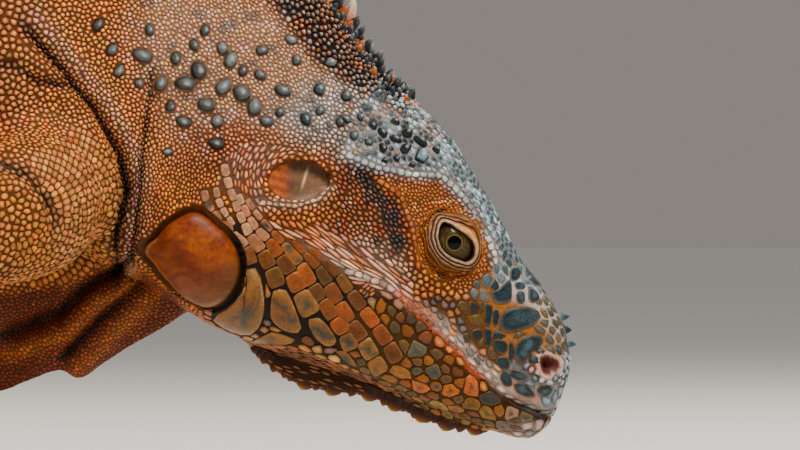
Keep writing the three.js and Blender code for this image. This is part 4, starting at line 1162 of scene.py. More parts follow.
SNOUT_TILES = [
    [(10.2, -12.5), (12, -12), (13.8, -10.2), (14.8, -9), (15.5, -10.2), (15.5, -14.2), (14.5, -15),
     (12, -15.2), (10.8, -14.2)],
    [(16.8, -12.2), (18.8, -12.2), (19, -15.2), (16.8, -15.2)],
    [(19.8, -11.2), (21.5, -11.8), (22.8, -14), (21.5, -15.2), (19.8, -14.8)],
    [(12.5, -18.8), (14.2, -17), (16.8, -16.2), (20, -16.2), (22, -17), (22.8, -19), (21.2, -20.5),
     (18.8, -21.5), (16.2, -22.2), (14, -22.5), (12.2, -21.2)],
    [(16.5, -26), (18.2, -24), (21, -23), (23, -23.5), (23.5, -25.2), (22, -26.5), (20, -27.8), (19.2, -29.8),
     (17.8, -30.5), (16, -28.8)],
    [(15, -7), (16.5, -5.8), (17.8, -7), (17.5, -9.2), (15.2, -9.8)],
    [(9, -15.2), (10.8, -16), (10.2, -20.5), (8.8, -20.5)],
    [(4.8, -14.5), (7, -15.5), (7.2, -17.5), (5, -17.8)],
    [(8.8, -21.2), (10.5, -21.8), (10.2, -26), (8.8, -26.2)],
    [(5.2, -22), (8, -21.5), (8.2, -24), (5.8, -24.8)],
    [(11, -24), (14.5, -24.8), (14.5, -27.5), (12, -28), (11, -26.2)],
    [(15, -24.5), (16.2, -25.8), (15.8, -30), (14.8, -29.2)],
    [(11.8, -28.8), (14.5, -28.5), (15.2, -31.5), (13.2, -31.5), (11.5, -30)],
    [(13.5, -32), (15.2, -33), (15.8, -35.8), (14, -36.2), (12.5, -34)],
    [(15.5, -31.8), (18.5, -32.5), (19.8, -34), (17.5, -34.8), (15.2, -33.5)],
    [(16, -35.8), (17.5, -35), (19.8, -36.2), (21.8, -38.5), (19.5, -38.8), (17, -37.8)],
    [(22.2, -36), (25.5, -36), (26, -37.5), (23.8, -38.8), (22, -37.5)],
    [(10.8, -17.2), (12, -16.5), (12.5, -18.2), (11.8, -20.8), (10.8, -20.8)],
    [(18.5, -5.8), (20.5, -5.2), (22, -7.2), (21, -9.2), (18.8, -8.5)],
    [(16.2, -10), (18.5, -9.8), (19.2, -11.5), (16.8, -11.8)],
    [(20.2, -7), (22.8, -8.2), (23.8, -11.2), (21.5, -11), (19.5, -9.5)],
]
# Oval plates of the chin and lower jaw: ahead of the eye, above it, length and width.
JAW_CELLS = [
    (5.5, -36, 3.8, 3.2), (10.2, -38.8, 3.5, 3), (5.2, -40.8, 3.8, 3), (9.5, -42.8, 3.5, 3),
    (0.2, -37, 3.8, 3.5), (-4, -32.2, 3.5, 3.2), (13.5, -46.2, 3, 2.5), (15.5, -43, 2.8, 2.5),
    (-8.5, -27.2, 3.5, 3.2), (-12.2, -32.2, 3.8, 3.2), (-7.5, -36.2, 3.8, 3.2), (-2.5, -41, 3.8, 3),
    (1.5, -41.8, 3.5, 2.8),
]
# Ridges of smooth scales: line, spacing along it, half width.
RIDGES = [(BROW, 1.9, 0.72), (SOCKET_RIM, 1.7, 0.62), (CHEEK_RIDGE[1:], 2.2, 0.62), (EAR_RIM, 1.6, 0.5)]
# Round raised scales of the neck, and domes of the crown: ahead of the eye, above it, across.
TUBERCLES = [
    (-84.2, 48.2, 3), (-76.8, 46.8, 4.5), (-82.5, 43, 3), (-72, 39.8, 4.5), (-66.2, 39.8, 5), (-62.8, 43, 5),
    (-69.8, 34.2, 3), (-66.5, 30.2, 3.5), (-60.8, 34.5, 4.5), (-58.2, 30.5, 3.5), (-56.8, 39, 4.5),
    (-52.2, 37.5, 5), (-48.8, 34, 4.5), (-57, 48.8, 3.5), (-54.8, 45.8, 4), (-68.5, 46, 3.5), (-47.5, 42, 3.2),
    (-41.8, 38, 4), (-32.8, 38.5, 3.5), (-36, 31, 3), (-45.8, 30.5, 3), (-58.2, 24.8, 3.5), (-64, 49.5, 3),
    (-70.5, 22.8, 2), (-38.5, 45.8, 3), (-30, 45.2, 3), (-26.2, 36.8, 3), (-40, 50.8, 3), (-47, 48.2, 2.8),
    (-51.8, 43.2, 2.8), (-61.2, 53.2, 2.8), (-32.5, 33.2, 2.5), (-27.5, 30.2, 2.5), (-77.5, 39.8, 2.5),
    (-75, 53.2, 3), (-87.5, 54.5, 3), (-42.5, 32.8, 2.5),
]
DOMES = [
    (-7.2, 21.8, 3.8), (-7.4, 25.4, 3), (-11.2, 23.8, 3), (-10.8, 27.6, 3), (-13.6, 26, 2.4),
    (-16.8, 23.8, 2.4), (-17, 27.6, 2.4), (-13.8, 30.4, 2.2), (-20.4, 25.2, 2), (-3.4, 23.4, 2.2),
    (-9.4, 19.4, 1.8), (-13.4, 21, 1.8), (-16.4, 20.6, 1.6), (-19.4, 29.4, 2), (-24, 27, 2.2), (-22.4, 31.6, 2),
    (-26.2, 31, 2.2),
]

# ---------------------------------------------------------------- scales everywhere else
BASE_SIZE = [
    (SNOUT, 0.8), (0, 0.72), (45, 0.58), (62, 0.54), (104, 0.54), (130, 0.85), (165, 1.5), (400, 1.6),
    (520, 1.6), (1470, 1.4),
]
BASE_RISE = [(SNOUT, 0.6), (40, 0.8), (100, 0.8), (170, 0.42), (520, 0.34), (1470, 0.3)]
FAN_POINT = (-12.5, -10.8)
FAN_WAY = (0.86, -0.51)
SNOUT_TOP = [(12, -5), (19.5, -10.5), (25.5, -14.2), (33, -24), (46, -21), (40, 5), (18, 12)]
BEHIND_SHIELD = [(-82, 24), (-64, 26), (-57, 15), (-62, 5), (-79, 3)]
CURLED_PATCH = [(-25, -10), (-18.5, -10.4), (-19, -14), (-24.5, -14)]
# Outline, softness, half length, half width, rise and flatness, and which way the scales lie: ahead
# and up, "fan" for scales that point at one mark or "ear" for ones that ring the ear.
SCALE_AREAS = [
    (CROWN, 1.5, 0.8, 0.72, 0.45, 0.35, None), (SNOUT_TOP, 1.5, 1.1, 0.95, 0.5, 0.4, None),
    (ORBIT, 1.2, 0.5, 0.42, 0.6, 0.2, None), (TEMPLE, 2, 0.66, 0.52, 0.7, 0.1, None),
    (BEHIND_SHIELD, 3, 0.5, 0.4, 0.7, 0.1, (0.2, 1)), (TUBERCLE_FIELD, 5, 0.54, 0.48, 0.8, 0, None),
    (NAPE_BAND, 2, 0.75, 0.68, 1.6, 0, None), (EAR_FAN, 1.2, 1, 0.42, 0.9, 0.1, 'ear'),
    (JAW, 1.5, 1.7, 1.4, 0.28, 0.8, (0.5, -0.86)), (JAW_FRONT, 2, 1.45, 1.25, 0.3, 0.75, (0.8, -0.6)),
    (CHEEK_FAN, 1.6, 2.7, 0.42, 0.9, 0.1, 'fan'), (CURLED_PATCH, 1.2, 0.7, 0.4, 0.6, 0.1, (0.7, 0.7)),
    (LOWER_SNOUT, 1, 0.95, 0.8, 0.4, 0.5, None), (SNOUT_PLATES, 1, 1.4, 1.2, 0.28, 0.8, None),
    (UPPER_LIP, 0.8, 1.3, 0.6, 0.4, 0.5, (0.7, -0.7)), (SNOUT_TIP, 1, 1.6, 1.3, 0.25, 0.8, None),
    (CHIN_TIP, 1, 1.4, 1.2, 0.25, 0.8, None), (UNDER_JAW, 1.2, 1.6, 0.42, 0.6, 0.2, (0.93, -0.36)),
    (SHOULDER_AREA, 3, 0.95, 0.78, 0.5, 0.4, 'arm'),
]
ARM_MARK = (-108.5, 7.0)      # the middle of the rings of scales on the shoulder
FLOOR_CLEAR = 0.06            # how far scales stay off the floor
GAP_SHARE = 0.14              # part of a scale's half width that is left open round it
CROWDING = 0.82               # how close two scales may be set, as a share of their sizes
PLATE_CROWDING = 0.55         # the same between two plates placed at listed marks
PLATE_ROOM = 0.95             # and between such a plate and another scale
CANDIDATES = 5                # scales tried for each that fits
UNBOUND = 9.0                 # reach of a cell, in half sizes, where no neighbour bounds it
MAP_RADIUS = 0.0015           # how large a scale is on the flat map


class Scales:
    """Scales on a skin: places, ways out and along, half sizes and forms, one row each."""

    SIZES = ("long", "wide", "rise", "flat", "gap")
    KEYS = ("place", "out", "along", *SIZES, "corners", "colour", "edge", "rim", "tip")

    def __init__(self, place, out, along, *sizes, corners):
        count = len(place)
        self.place, self.out = np.asarray(place, float), unit(out)
        along = along - self.out * dot(along, self.out)[:, None]
        spare = np.cross(self.out, [0.31, 0.87, 0.38])
        self.along = unit(np.where(np.linalg.norm(along, axis=1)[:, None] > 0.05, along, spare))
        for key, size in zip(self.SIZES, sizes):
            setattr(self, key, np.ones(count) * size)
        self.corners = np.full(count, corners)
        # Colours at a scale's middle, at its foot (edge), in between (rim) and at its peak (tip). The edge is
        # painted shade, except in the pale networks of crown and snout, and the tip a painted highlight, except
        # on the crown and the jaw's plates, which keep their own darker or teal middles.
        self.colour = self.edge = self.rim = self.tip = np.zeros((count, 3))

    def __len__(self):
        return len(self.place)

    @property
    def across(self):
        return np.cross(self.out, self.along)

    def only(self, index):
        part = object.__new__(Scales)
        for key in self.KEYS:
            setattr(part, key, getattr(self, key)[index])
        return part

    @staticmethod
    def joined(parts):
        whole = object.__new__(Scales)
        for key in Scales.KEYS:
            setattr(whole, key, np.concatenate([getattr(part, key) for part in parts]))
        return whole

    def settle(self, surface):
        """Sets every scale on the skin and turns it to lie along it."""
        self.place, self.out, _ = surface.nearest(self.place)
        self.along = unit(self.along - self.out * dot(self.along, self.out)[:, None])


EACH = np.s_[:, None]


def reach_towards(offset, scales, pick):
    """The half size of the picked scales in the direction of each offset."""
    a, e = dot(offset, scales.along[pick]), dot(offset, scales.across[pick])
    return np.hypot(a, e) / np.maximum(np.hypot(a / scales.long[pick], e / scales.wide[pick]), 1e-9)


def neighbours(places, queries, count):
    """The nearest places to each query, as numbers of places, nearest first."""
    tree = tree_of(places)
    count = min(count, len(places))
    return np.array([[n[1] for n in tree.find_n(q, count)] for q in queries.tolist()])


def thinned(scales):
    """The scales that stay when each, in order, clears the ones that it would overlap."""
    tree = tree_of(scales.place)
    along, across = scales.along.tolist(), scales.across.tolist()
    long, wide = scales.long.tolist(), scales.wide.tolist()
    plate = (scales.corners == PLATE_RIM).tolist()
    free = bytearray(b"\x01") * len(scales)
    kept = []
    for i, (x, y, z) in enumerate(scales.place.tolist()):
        if not free[i]:
            continue
        kept.append(i)
        (ax, ay, az), (ex, ey, ez), li, wi = along[i], across[i], long[i], wide[i]
        reach = (PLATE_ROOM if plate[i] else CROWDING) * (li + min(li * 1.25 + 0.3, 1.9))
        for co, j, d in tree.find_range((x, y, z), reach):
            if not free[j] or d < 1e-6:
                continue
            dx, dy, dz = co[0] - x, co[1] - y, co[2] - z
            forth, aside = dx * ax + dy * ay + dz * az, dx * ex + dy * ey + dz * ez
            mine = math.hypot(forth / li, aside / wi) + 1e-6
            bx, by, bz = along[j]
            fx, fy, fz = across[j]
            forth, aside = dx * bx + dy * by + dz * bz, dx * fx + dy * fy + dz * fz
            other = math.hypot(forth / long[j], aside / wide[j]) + 1e-6
            crowding = CROWDING if not plate[i] else PLATE_CROWDING if plate[j] else PLATE_ROOM
            if 1 < crowding * (1 / mine + 1 / other):
                free[j] = 0
    return np.array(kept)


def spread_out(scales, fixed, surface, rounds):
    """Lets the scales push one another apart along the skin; the first `fixed` stay where they are."""
    for _ in range(rounds):
        near = neighbours(scales.place, scales.place, 8)[:, 1:]
        offset = scales.place[near] - scales.place[:, None]
        distance = np.linalg.norm(offset, axis=2) + 1e-6
        room = reach_towards(offset, scales, EACH) + reach_towards(offset, scales, near)
        press = np.clip(1.04 * room - distance, 0, None)
        move = -(offset / distance[:, :, None] * press[:, :, None] * 0.4).sum(1)
        size = np.linalg.norm(move, axis=1) + 1e-9
        move *= np.minimum(1, 0.4 * scales.wide / size)[:, None]
        move[:fixed] = 0
        scales.place = scales.place + move
        scales.settle(surface)
    return scales


def outlined(scales, index, near, corners, draw):
    """Rim points of scales, each cell bounded half way to its neighbours by size."""
    own = scales.only(index)
    offset = scales.place[near] - own.place[:, None]
    a, e = dot(offset, own.along[:, None]), dot(offset, own.across[:, None])
    theirs = reach_towards(offset, scales, near)
    mine = reach_towards(offset, own, EACH)
    a, e = a / own.long[:, None], e / own.wide[:, None]
    distance = np.hypot(a, e)
    bound = distance * mine / np.maximum(mine + theirs, 1e-6)
    bound[(near == index[:, None]) | (distance < 1e-3)] = UNBOUND
    towards = np.arctan2(e, a)
    start = draw.random(len(own))[:, None]
    angle = 2 * np.pi * (np.arange(corners)[None, :] + start) / corners
    reach = np.broadcast_to(mix(1.42, 1.9, own.flat)[:, None], angle.shape).copy()
    for k in range(near.shape[1]):
        facing = np.cos(angle - towards[:, k:k + 1])
        limit = bound[:, k:k + 1] / np.maximum(facing, 0.05)
        reach = np.minimum(reach, np.where(facing > 0.05, limit, UNBOUND))
    a, e = reach * np.cos(angle) * own.long[:, None], reach * np.sin(angle) * own.wide[:, None]
    size = np.hypot(a, e) + 1e-9
    shrink = np.clip(1 - own.gap[:, None] / size, 0.35, 1)
    a, e = a * shrink, e * shrink
    return own.place[:, None] + own.along[:, None] * a[:, :, None] + own.across[:, None] * e[:, :, None], angle


def draw_back(rim, middle, close, covered, rounds, step):
    """Moves the rim points of some scales towards their middles, step by step, while they are covered."""
    for _ in range(rounds if close.any() else 0):
        spots = rim[close]
        under = covered(spots.reshape(-1, 3)).reshape(spots.shape[:2])
        rim[close] = np.where(under[:, :, None], mix(spots, middle[close][:, None], step), spots)


def cleared(rim, middle):
    """Rim points drawn back until they clear the grooves round the jaw shields and the drawn plates."""
    rim = rim.copy()
    for _, side in SIDES:
        close = np.linalg.norm(middle - shield_place(side).centre, axis=1) < 30
        draw_back(rim, middle, close, lambda spots: shield_share(spots, side) < 1.11, 7, 0.16)
    x, z = sight(middle).T
    close = (x > -70) & (x < 30) & (z < 22) & (z > -42)
    draw_back(rim, middle, close, lambda spots: within_drawn(sight(spots), 0.2, 0.3), 5, 0.2)
    return rim


def scale_mesh(scales, index, near, corners, detail, surface, draw, roots, rims):
    """Points, triangles, colours and map places of closed domes over the given scales; `rims` has the
    rim points of the plates drawn one by one, and is None for the others."""
    own = scales.only(index)
    if rims is None:
        rim, angle = outlined(scales, index, near, corners, draw)
        rim = cleared(surface.on(rim), own.place)
    else:
        rim, angle = rims, np.broadcast_to(round_angles(corners), rims.shape[:2])
    count = len(own)
    flat = own.flat[:, None, None]
    if rims is not None:
        shares, rises = [1.0, 0.955, 0.87, 0.68, 0.46, 0.24], [-0.16, 0.6, 0.86, 0.96, 1.0, 1.0]
        tints = [own.edge, own.rim, mix(own.rim, own.colour, 0.6), own.colour, mix(own.colour, own.tip, 0.35),
                 mix(own.colour, own.tip, 0.75)]
    elif detail:
        shares = [1.0, mix(0.88, 0.965, flat), mix(0.72, 0.86, flat), mix(0.42, 0.5, flat)]
        rises = [-0.16, mix(0.4, 0.66, flat), mix(0.7, 0.9, flat), mix(0.92, 0.98, flat)]
        tints = [own.edge, own.rim, own.colour, own.colour]
    else:
        shares = [1.0, mix(0.72, 0.87, flat)]
        rises = [-0.2, mix(0.62, 0.93, flat)]
        tints = [own.edge, own.colour]
    height = own.rise[:, None, None] * own.out[:, None]
    middle = own.place[:, None]
    rings = [mix(middle, rim, share) for share in shares]
    if corners >= PLATE_RIM:
        rings = [surface.on(ring) for ring in rings]
    rings = [ring + height * rise for ring, rise in zip(rings, rises)]
    peak = own.place + own.out * own.rise[:, None]
    points = np.concatenate([*rings, peak[:, None]], axis=1)
    points[:, :, 2] = np.maximum(points[:, :, 2], FLOOR_CLEAR)
    each = points.shape[1]
    k = np.arange(corners)
    top = (len(rings) - 1) * corners
    b = np.arange(1, corners - 1)
    faces = np.vstack([
        *(f for low in range(0, top, corners) for f in band(low, low + corners, corners)),
        np.stack([top + k, top + (k + 1) % corners, np.full(corners, each - 1)], 1),
        np.stack([np.zeros_like(b), b + 1, b], 1),
    ])
    all_faces = (faces[None] + (np.arange(count) * each)[:, None, None]).reshape(-1, 3)
    # Colours ring by ring, from the edge's painted shade at the foot to the tip at the peak.
    colours = [np.repeat(tint[:, None], corners, 1) for tint in tints]
    colours = np.concatenate([*colours, own.tip[:, None]], axis=1)
    if detail:
        streak = noise(points.reshape(-1, 3) * (1.0, 1.0, 0.4), 0.8, 13).reshape(colours.shape[:2])
        colours = colours * (1 + 0.34 * streak[:, :, None])
    if rims is not None:
        patch = noise(points.reshape(-1, 3), 1.7, 14).reshape(colours.shape[:2])
        patch *= np.append(np.repeat([0, 0.3, 1, 1, 1, 1], corners), 1)
        patch = patch[:, :, None]
        colours = mix(colours, (own.colour * (1.35, 1.1, 0.7))[:, None], 0.7 * ease(patch, 0.1, 0.6))
        colours = mix(colours, own.tip[:, None], 0.75 * ease(-patch, 0.1, 0.6))
    around = np.stack([np.cos(angle), np.sin(angle)], 2) * MAP_RADIUS
    spread = [around * share for share in (1.0, 0.85, 0.7, 0.55, 0.4, 0.25)[:len(rings)]]
    spread = np.concatenate([*spread, np.zeros((count, 1, 2))], axis=1) + roots[:, None]
    return points.reshape(-1, 3), all_faces, colours.reshape(-1, 3), spread.reshape(-1, 2)


def seen_on(surface, flat, side):
    """Places on one side of the animal under marks seen square from that side."""
    away = 200.0
    places = []
    for x, z in flat:
        start = Vector((x, side * away, z + EYE_HEIGHT))
        hit = surface.tree.ray_cast(start, Vector((0, -side, 0)), 2 * away)
        places.append(tuple(hit[0]) if hit[0] is not None else (x, 0.0, z + EYE_HEIGHT))
    return surface.nearest(np.array(places))[:2]


def level_ways(flat):
    """Directions in space, seen square from the side as the given ones, ahead and up."""
    return np.stack([flat[:, 0], np.zeros(len(flat)), flat[:, 1]], 1)


def along_line(line, spots_of):
    """Points on a line of straight stretches at the distances that `spots_of` its length gives."""
    line = np.asarray(line, float)
    far = np.concatenate([[0], np.cumsum(np.linalg.norm(np.diff(line, axis=0), axis=1))])
    at = spots_of(far[-1])
    return np.stack([np.interp(at, far, line[:, k]) for k in range(2)], 1)


def shoulder_rings():
    """Scales of the shoulder in rings round one mark: flat places, ways along the rings and half sizes."""
    places, ways, sizes = [], [], []
    smallest, largest, spacing, pitch = 8.0, 32, 1.95, 1.55
    radius = smallest
    while radius < largest:
        angle = np.arange(-1.5, 2.1, pitch / radius) + 0.5 * pitch / radius * (len(places) % 2)
        step = mix(spacing, 1.25, ease(angle, 0.2, 1.5))
        reach = smallest + (radius - smallest) * step / spacing
        places.append(np.array(ARM_MARK) + np.stack([np.cos(angle), np.sin(angle)], 1) * reach[:, None])
        ways.append(np.stack([-np.sin(angle), np.cos(angle)], 1))
        sizes.append(np.stack([np.full(len(angle), pitch / 2 + 0.03), step / 2], 1))
        radius += spacing
    places, ways, sizes = np.vstack(places), np.vstack(ways), np.vstack(sizes)
    gap = np.minimum(line_distance(places, ARM_CREASE)[0], line_distance(places, FRONT_CREASE)[0])
    keep = (inside(places, SHOULDER_AREA, 0.5) > 0.5) & (gap > 1.6)
    return places[keep], ways[keep], sizes[keep, 0], sizes[keep, 1]


def rounded(outline, count, gap):
    """A closed outline with its corners rounded, drawn in by a gap, as a number of evenly spaced points."""
    p = np.asarray(outline, float)
    after = np.roll(p, -1, 0)
    turn = 0.24 if np.ptp(p, axis=0).max() < 4.5 else 0.14
    p = np.stack([mix(p, after, turn), mix(p, after, 1 - turn)], 1).reshape(-1, 2)
    p = along_line(np.vstack([p, p[:1]]), lambda length: np.arange(count) / count * length)
    middle = p.mean(0)
    size = np.linalg.norm(p - middle, axis=1, keepdims=True)
    return middle + (p - middle) * np.maximum(1 - gap / size, 0.5)


def drawn_outlines():
    """Outlines of every plate drawn one by one, and of the rows and plates as wholes."""
    plates, wholes = [], []
    for number, row in enumerate(JAW_ROWS):
        line = np.array([stop[:2] for stop in row])
        half = np.array([stop[2] for stop in row])[:, None] * (0.5 if number < 3 else 0.535)
        ahead = unit(np.gradient(line, axis=0))
        aside = np.stack([-ahead[:, 1], ahead[:, 0]], 1) * half
        upper, lower = line + aside, line - aside
        for i in range(len(row) - 1):
            cut = 0.05 * unit(line[i + 1] - line[i])
            bulge = 0.06 * (aside[i] + aside[i + 1])
            (high, high_end), (low, low_end) = upper[i:i + 2], lower[i:i + 2]
            plates.append(np.array([high + cut, mix(high, high_end, 0.5) + bulge, high_end - cut,
                                    low_end - cut, mix(low, low_end, 0.5) - bulge, low + cut]))
        wholes.append(np.vstack([upper, lower[::-1]]))
    tiles = [mix(np.mean(tile, 0), np.array(tile), grown)
             for table, grown in ((TILES, 1.0), (SNOUT_TILES, 1.09)) for tile in table]
    return plates + tiles, wholes + tiles


PLATES, DRAWN = drawn_outlines()


def within_drawn(flat, share, soft):
    """Whether marks seen square from the side lie within a row or plate that is drawn one by one."""
    hit = np.zeros(len(flat), bool)
    for outline in DRAWN:
        close = np.nonzero(((flat > outline.min(0) - 1) & (flat < outline.max(0) + 1)).all(1))[0]
        if len(close):
            hit[close] |= inside(flat[close], outline, soft) > share
    return hit


def past_shield(points, side, share):
    """Points moved straight away from a jaw shield's middle, at least to a share of its radius."""
    shield = shield_place(side)
    u, v, w = shield.marks(points)
    far = np.maximum(share / np.maximum(shield_share(points, side), 0.5), 1)
    return shield.at(u * far, v * far, w)


def drawn_scales(surface):
    """The plates drawn one by one, on both sides, and the points of their rims."""
    parts, rims = [], []
    for _, side in SIDES:
        for outline in PLATES:
            rim, _ = seen_on(surface, rounded(outline, DRAWN_RIM, 0.03), side)
            rim, _ = seen_on(surface, sight(past_shield(rim, side, 1.14)), side)
            place, out, _ = surface.nearest(past_shield(rim.mean(0)[None], side, 1.3))
            offset = rim - rim.mean(0)
            along = np.linalg.svd(offset, full_matrices=False)[2][:1]
            long, wide = (np.abs(offset @ way[0]).max() for way in (along, np.cross(out, along)))
            level = float(mix(0.72, 0.92, ease(wide, 1.2, 3.0)))
            parts.append(Scales(place, out, along, long, wide, 0.3 + 0.1 * wide, level, 0.07,
                                corners=DRAWN_RIM))
            rims.append(rim)
    return Scales.joined(parts), np.array(rims)


def placed_scales(surface):
    """The oval plates, ridges, tubercles and domes placed at listed marks, on both sides."""
    parts = []
    for _, side in SIDES:
        flat = np.array([s[:2] for s in JAW_CELLS])
        place, out = seen_on(surface, flat, side)
        slope = math.radians(40)
        along = np.broadcast_to([math.cos(slope), 0, -math.sin(slope)], out.shape)
        long, wide = (np.array([s[k] for s in JAW_CELLS]) / 2 for k in (2, 3))
        parts.append(Scales(place, out, along, long, wide, 0.22 + 0.1 * wide, 0.9, 0.07, corners=PLATE_RIM))
        for line, pitch, wide in RIDGES:
            flat = along_line(line, lambda length: np.arange(pitch / 2, length, pitch))
            place, out = seen_on(surface, flat, side)
            along = level_ways(np.gradient(flat, axis=0))
            parts.append(Scales(place, out, along, pitch * 0.54, wide, 0.34, 0.7, 0.06, corners=RIDGE_RIM))
        flat, lie, long, wide = shoulder_rings()
        place, out = seen_on(surface, flat, side)
        parts.append(Scales(place, out, level_ways(lie), long, wide, 0.32, 0.6, 0.09, corners=RIDGE_RIM))
        for table, rise in ((TUBERCLES, 0.95), (DOMES, 1.0)):
            place, out = seen_on(surface, np.array([s[:2] for s in table]), side)
            radius = np.array([s[2] for s in table]) / 2
            uneven = np.sin(1.7 * np.arange(len(radius)) ** 2)
            along = np.stack([0.4 + uneven, 0 * uneven, np.cos(uneven * 2)], 1)
            long, wide = radius * (1.04 + 0.16 * uneven), radius * (0.88 - 0.12 * uneven)
            parts.append(Scales(place, out, along, long, wide, radius * rise, 0.0, radius * 0.08,
                                corners=PLATE_RIM))
    return parts


def tail_scales():
    """Rings of keeled scales round the tail, and rows of small ones on the toes."""
    parts = []
    t = TAIL_RINGS
    row = 0
    while t < TAIL_TIP - 3:
        radius = float(half_width_at(t))
        count = max(6, int(round(2 * np.pi * radius / 3.0)))
        angle = round_angles(count, 0.5 * (row % 2))
        there = np.full(count, t)
        place = skin_points(there, angle, -COAT_DEPTH)
        middle, forward, _, _ = spine_frame(there)
        half = np.pi * radius / count
        parts.append(Scales(place, place - middle, forward, 1.75, half, 0.42, 0.35, 0.16, corners=PLAIN_RIM))
        t += 3.1
        row += 1
    for _, _, toes in LIMBS:
        for toe in toes:
            count = 8
            rows = int(np.linalg.norm(toe.places[-1] - toe.places[0]) / 2.0)
            for row, key in enumerate(np.linspace(0.25, toe.last - 0.7, rows)):
                keys = np.full(count, key)
                place = toe.surface(keys, round_angles(count, 0.5 * (row % 2)))
                tangent, _, _ = toe.frame(keys)
                half = np.pi * float(toe.across(key)) / count
                parts.append(Scales(place, place - toe.at(keys), tangent, 1.1, half * 1.05, 0.3, 0.4, 0.1,
                                    corners=PLAIN_RIM))
    return parts


def scale_forms(points, t):
    """Half sizes, rise, flatness and lie of the scales at points on the skin."""
    size, rise = curve(BASE_SIZE)(t), curve(BASE_RISE)(t)
    long, wide = size * 1.04, size * 0.96
    level = np.full(len(points), 0.25)
    along = spine_frame(t)[1].copy()
    near = np.nonzero(t < FOLDS_END)[0]
    spot = sight(points[near])
    for outline, soft, half_long, half_wide, lift, flatness, lie in SCALE_AREAS:
        share = inside(spot, outline, soft)
        long[near] = mix(long[near], half_long, share)
        wide[near] = mix(wide[near], half_wide, share)
        rise[near] = mix(rise[near], lift, share)
        level[near] = mix(level[near], flatness, share)
        if lie is None:
            continue
        if lie == "fan":
            towards, ahead = np.array(FAN_POINT) - spot, np.array(FAN_WAY)
            close = ease(9 - dot(towards, ahead), 0, 5)[:, None]
            way = mix(unit(towards), ahead, np.maximum(close, 0.25))
            way = way + 0.12 * noise(points[near], 3.0, 12)[:, None]
        elif isinstance(lie, str):
            offset = spot - (np.array(ARM_MARK) if lie == "arm" else sight(ear_place(-1).centre[None])[0])
            way = np.stack([-offset[:, 1], offset[:, 0]], 1)
        else:
            way = np.broadcast_to(lie, spot.shape)
        along[near] = np.where(share[:, None] > 0.5, unit(level_ways(way)), along[near])
    throat = throat_share(points)
    long, wide = mix(long, 0.56, throat), mix(wide, 0.46, throat)
    rise, level = mix(rise, 0.22, throat), mix(level, 0.4, throat)
    index, key, _ = limb_marks(points)
    for number, (_, limb, _) in enumerate(LIMBS):
        on = np.nonzero(index == number)[0]
        if len(on):
            size = np.interp(key[on], [2, 3.2, 5.5, limb.last], [0.85, 1.0, 1.2, 1.0])
            long[on], wide[on], rise[on] = size * 1.05, size * 0.92, 0.4
            along[on] = limb.frame(key[on])[0]
    for _, side in SIDES:
        place = eye_place(side)
        u, v, w = place.marks(points)
        share = ease(LID_REACH + 0.6 - np.where(w > EYE_BACK, np.hypot(u, v), ELSEWHERE), 0, 1.2)
        long, wide = mix(long, 0.5, share), mix(wide, 0.34, share)
        rise, level = mix(rise, 0.9, share), mix(level, 0.2, share)
        ring = place.level * -v[:, None] + place.up * u[:, None]
        along = np.where(share[:, None] > 0.5, unit(ring), along)
    return long, wide, rise * wide, level, along


def bare(points, out, t):
    """Where the skin carries no scales."""
    flat = sight(points)
    hidden = (points[:, 2] < 0.8) & (out[:, 2] < -0.2)
    head = t < NAPE + 10
    for _, side in SIDES:
        hidden |= head & ((ear_share(points, side) < 1.12) | (shield_share(points, side) < 1.15))
    ring = nostril_share(head_marks(flat))
    hidden |= head & (np.abs(points[:, 1]) > 2) & (ring < 1.08)
    gap, _ = line_distance(flat, MOUTH_LINE)
    hidden |= head & (np.abs(points[:, 1]) > 8) & within_drawn(flat, 0.06, 0.9)
    return hidden | (head & (gap < 0.55) & (flat[:, 0] > -13))


def scattered_scales(body, lids, draw, last):
    """Scales tried at random places all over the skin up to a distance, closest where they are small."""
    parts = []
    for skin in (body, lids):
        on_lids = skin is lids
        a, b, c = (skin.points[skin.faces[:, k]] for k in range(3))
        area = np.linalg.norm(np.cross(b - a, c - a), axis=1) / 2
        middle = (a + b + c) / 3
        t = body_marks(middle)[0]
        out = unit(skin.normals[skin.faces].sum(1))
        long, wide, _, _, _ = scale_forms(middle, t)
        reach = any_eye_reach(middle)
        keep = (reach < LID_REACH + 0.1) if on_lids else (reach > LID_REACH - 0.1) & (t < last)
        keep &= ~bare(middle, out, t)
        share = np.where(keep, area / (2 * math.sqrt(3) * long * wide), 0)
        count = int(CANDIDATES * share.sum())
        pick = draw.choice(len(share), count, p=share / share.sum())
        u, v = draw.random(count), draw.random(count)
        over = u + v > 1
        u, v = np.where(over, 1 - u, u)[:, None], np.where(over, 1 - v, v)[:, None]
        corners = skin.faces[pick]
        place, out = (first + (second - first) * u + (third - first) * v for first, second, third in
                      ((table[corners[:, k]] for k in range(3)) for table in (skin.points, skin.normals)))
        out = unit(out)
        t = body_marks(place)[0]
        keep = ~bare(place, out, t)
        place, out, t = place[keep], out[keep], t[keep]
        if on_lids:
            off = np.minimum(*(np.where(w > EYE_BACK, np.hypot(u, v) - aperture(np.arctan2(v, u)), ELSEWHERE)
                               for u, v, w in (eye_place(s).marks(place) for _, s in SIDES)))
            far = (off > 2.6) & (any_eye_reach(place) > LID_REACH - 1.7)
            place, out, t = place[far], out[far], t[far]
        long, wide, rise, level, along = scale_forms(place, t)
        corners = np.where(t < NECK_END, SMALL_RIM, PLAIN_RIM)
        tight = mix(GAP_SHARE, 0.06, inside(sight(place), JAW, 1.0) * (t < NAPE))
        parts.append(Scales(place, out, along, long, wide, rise, level, wide * tight, corners=corners))
    return parts


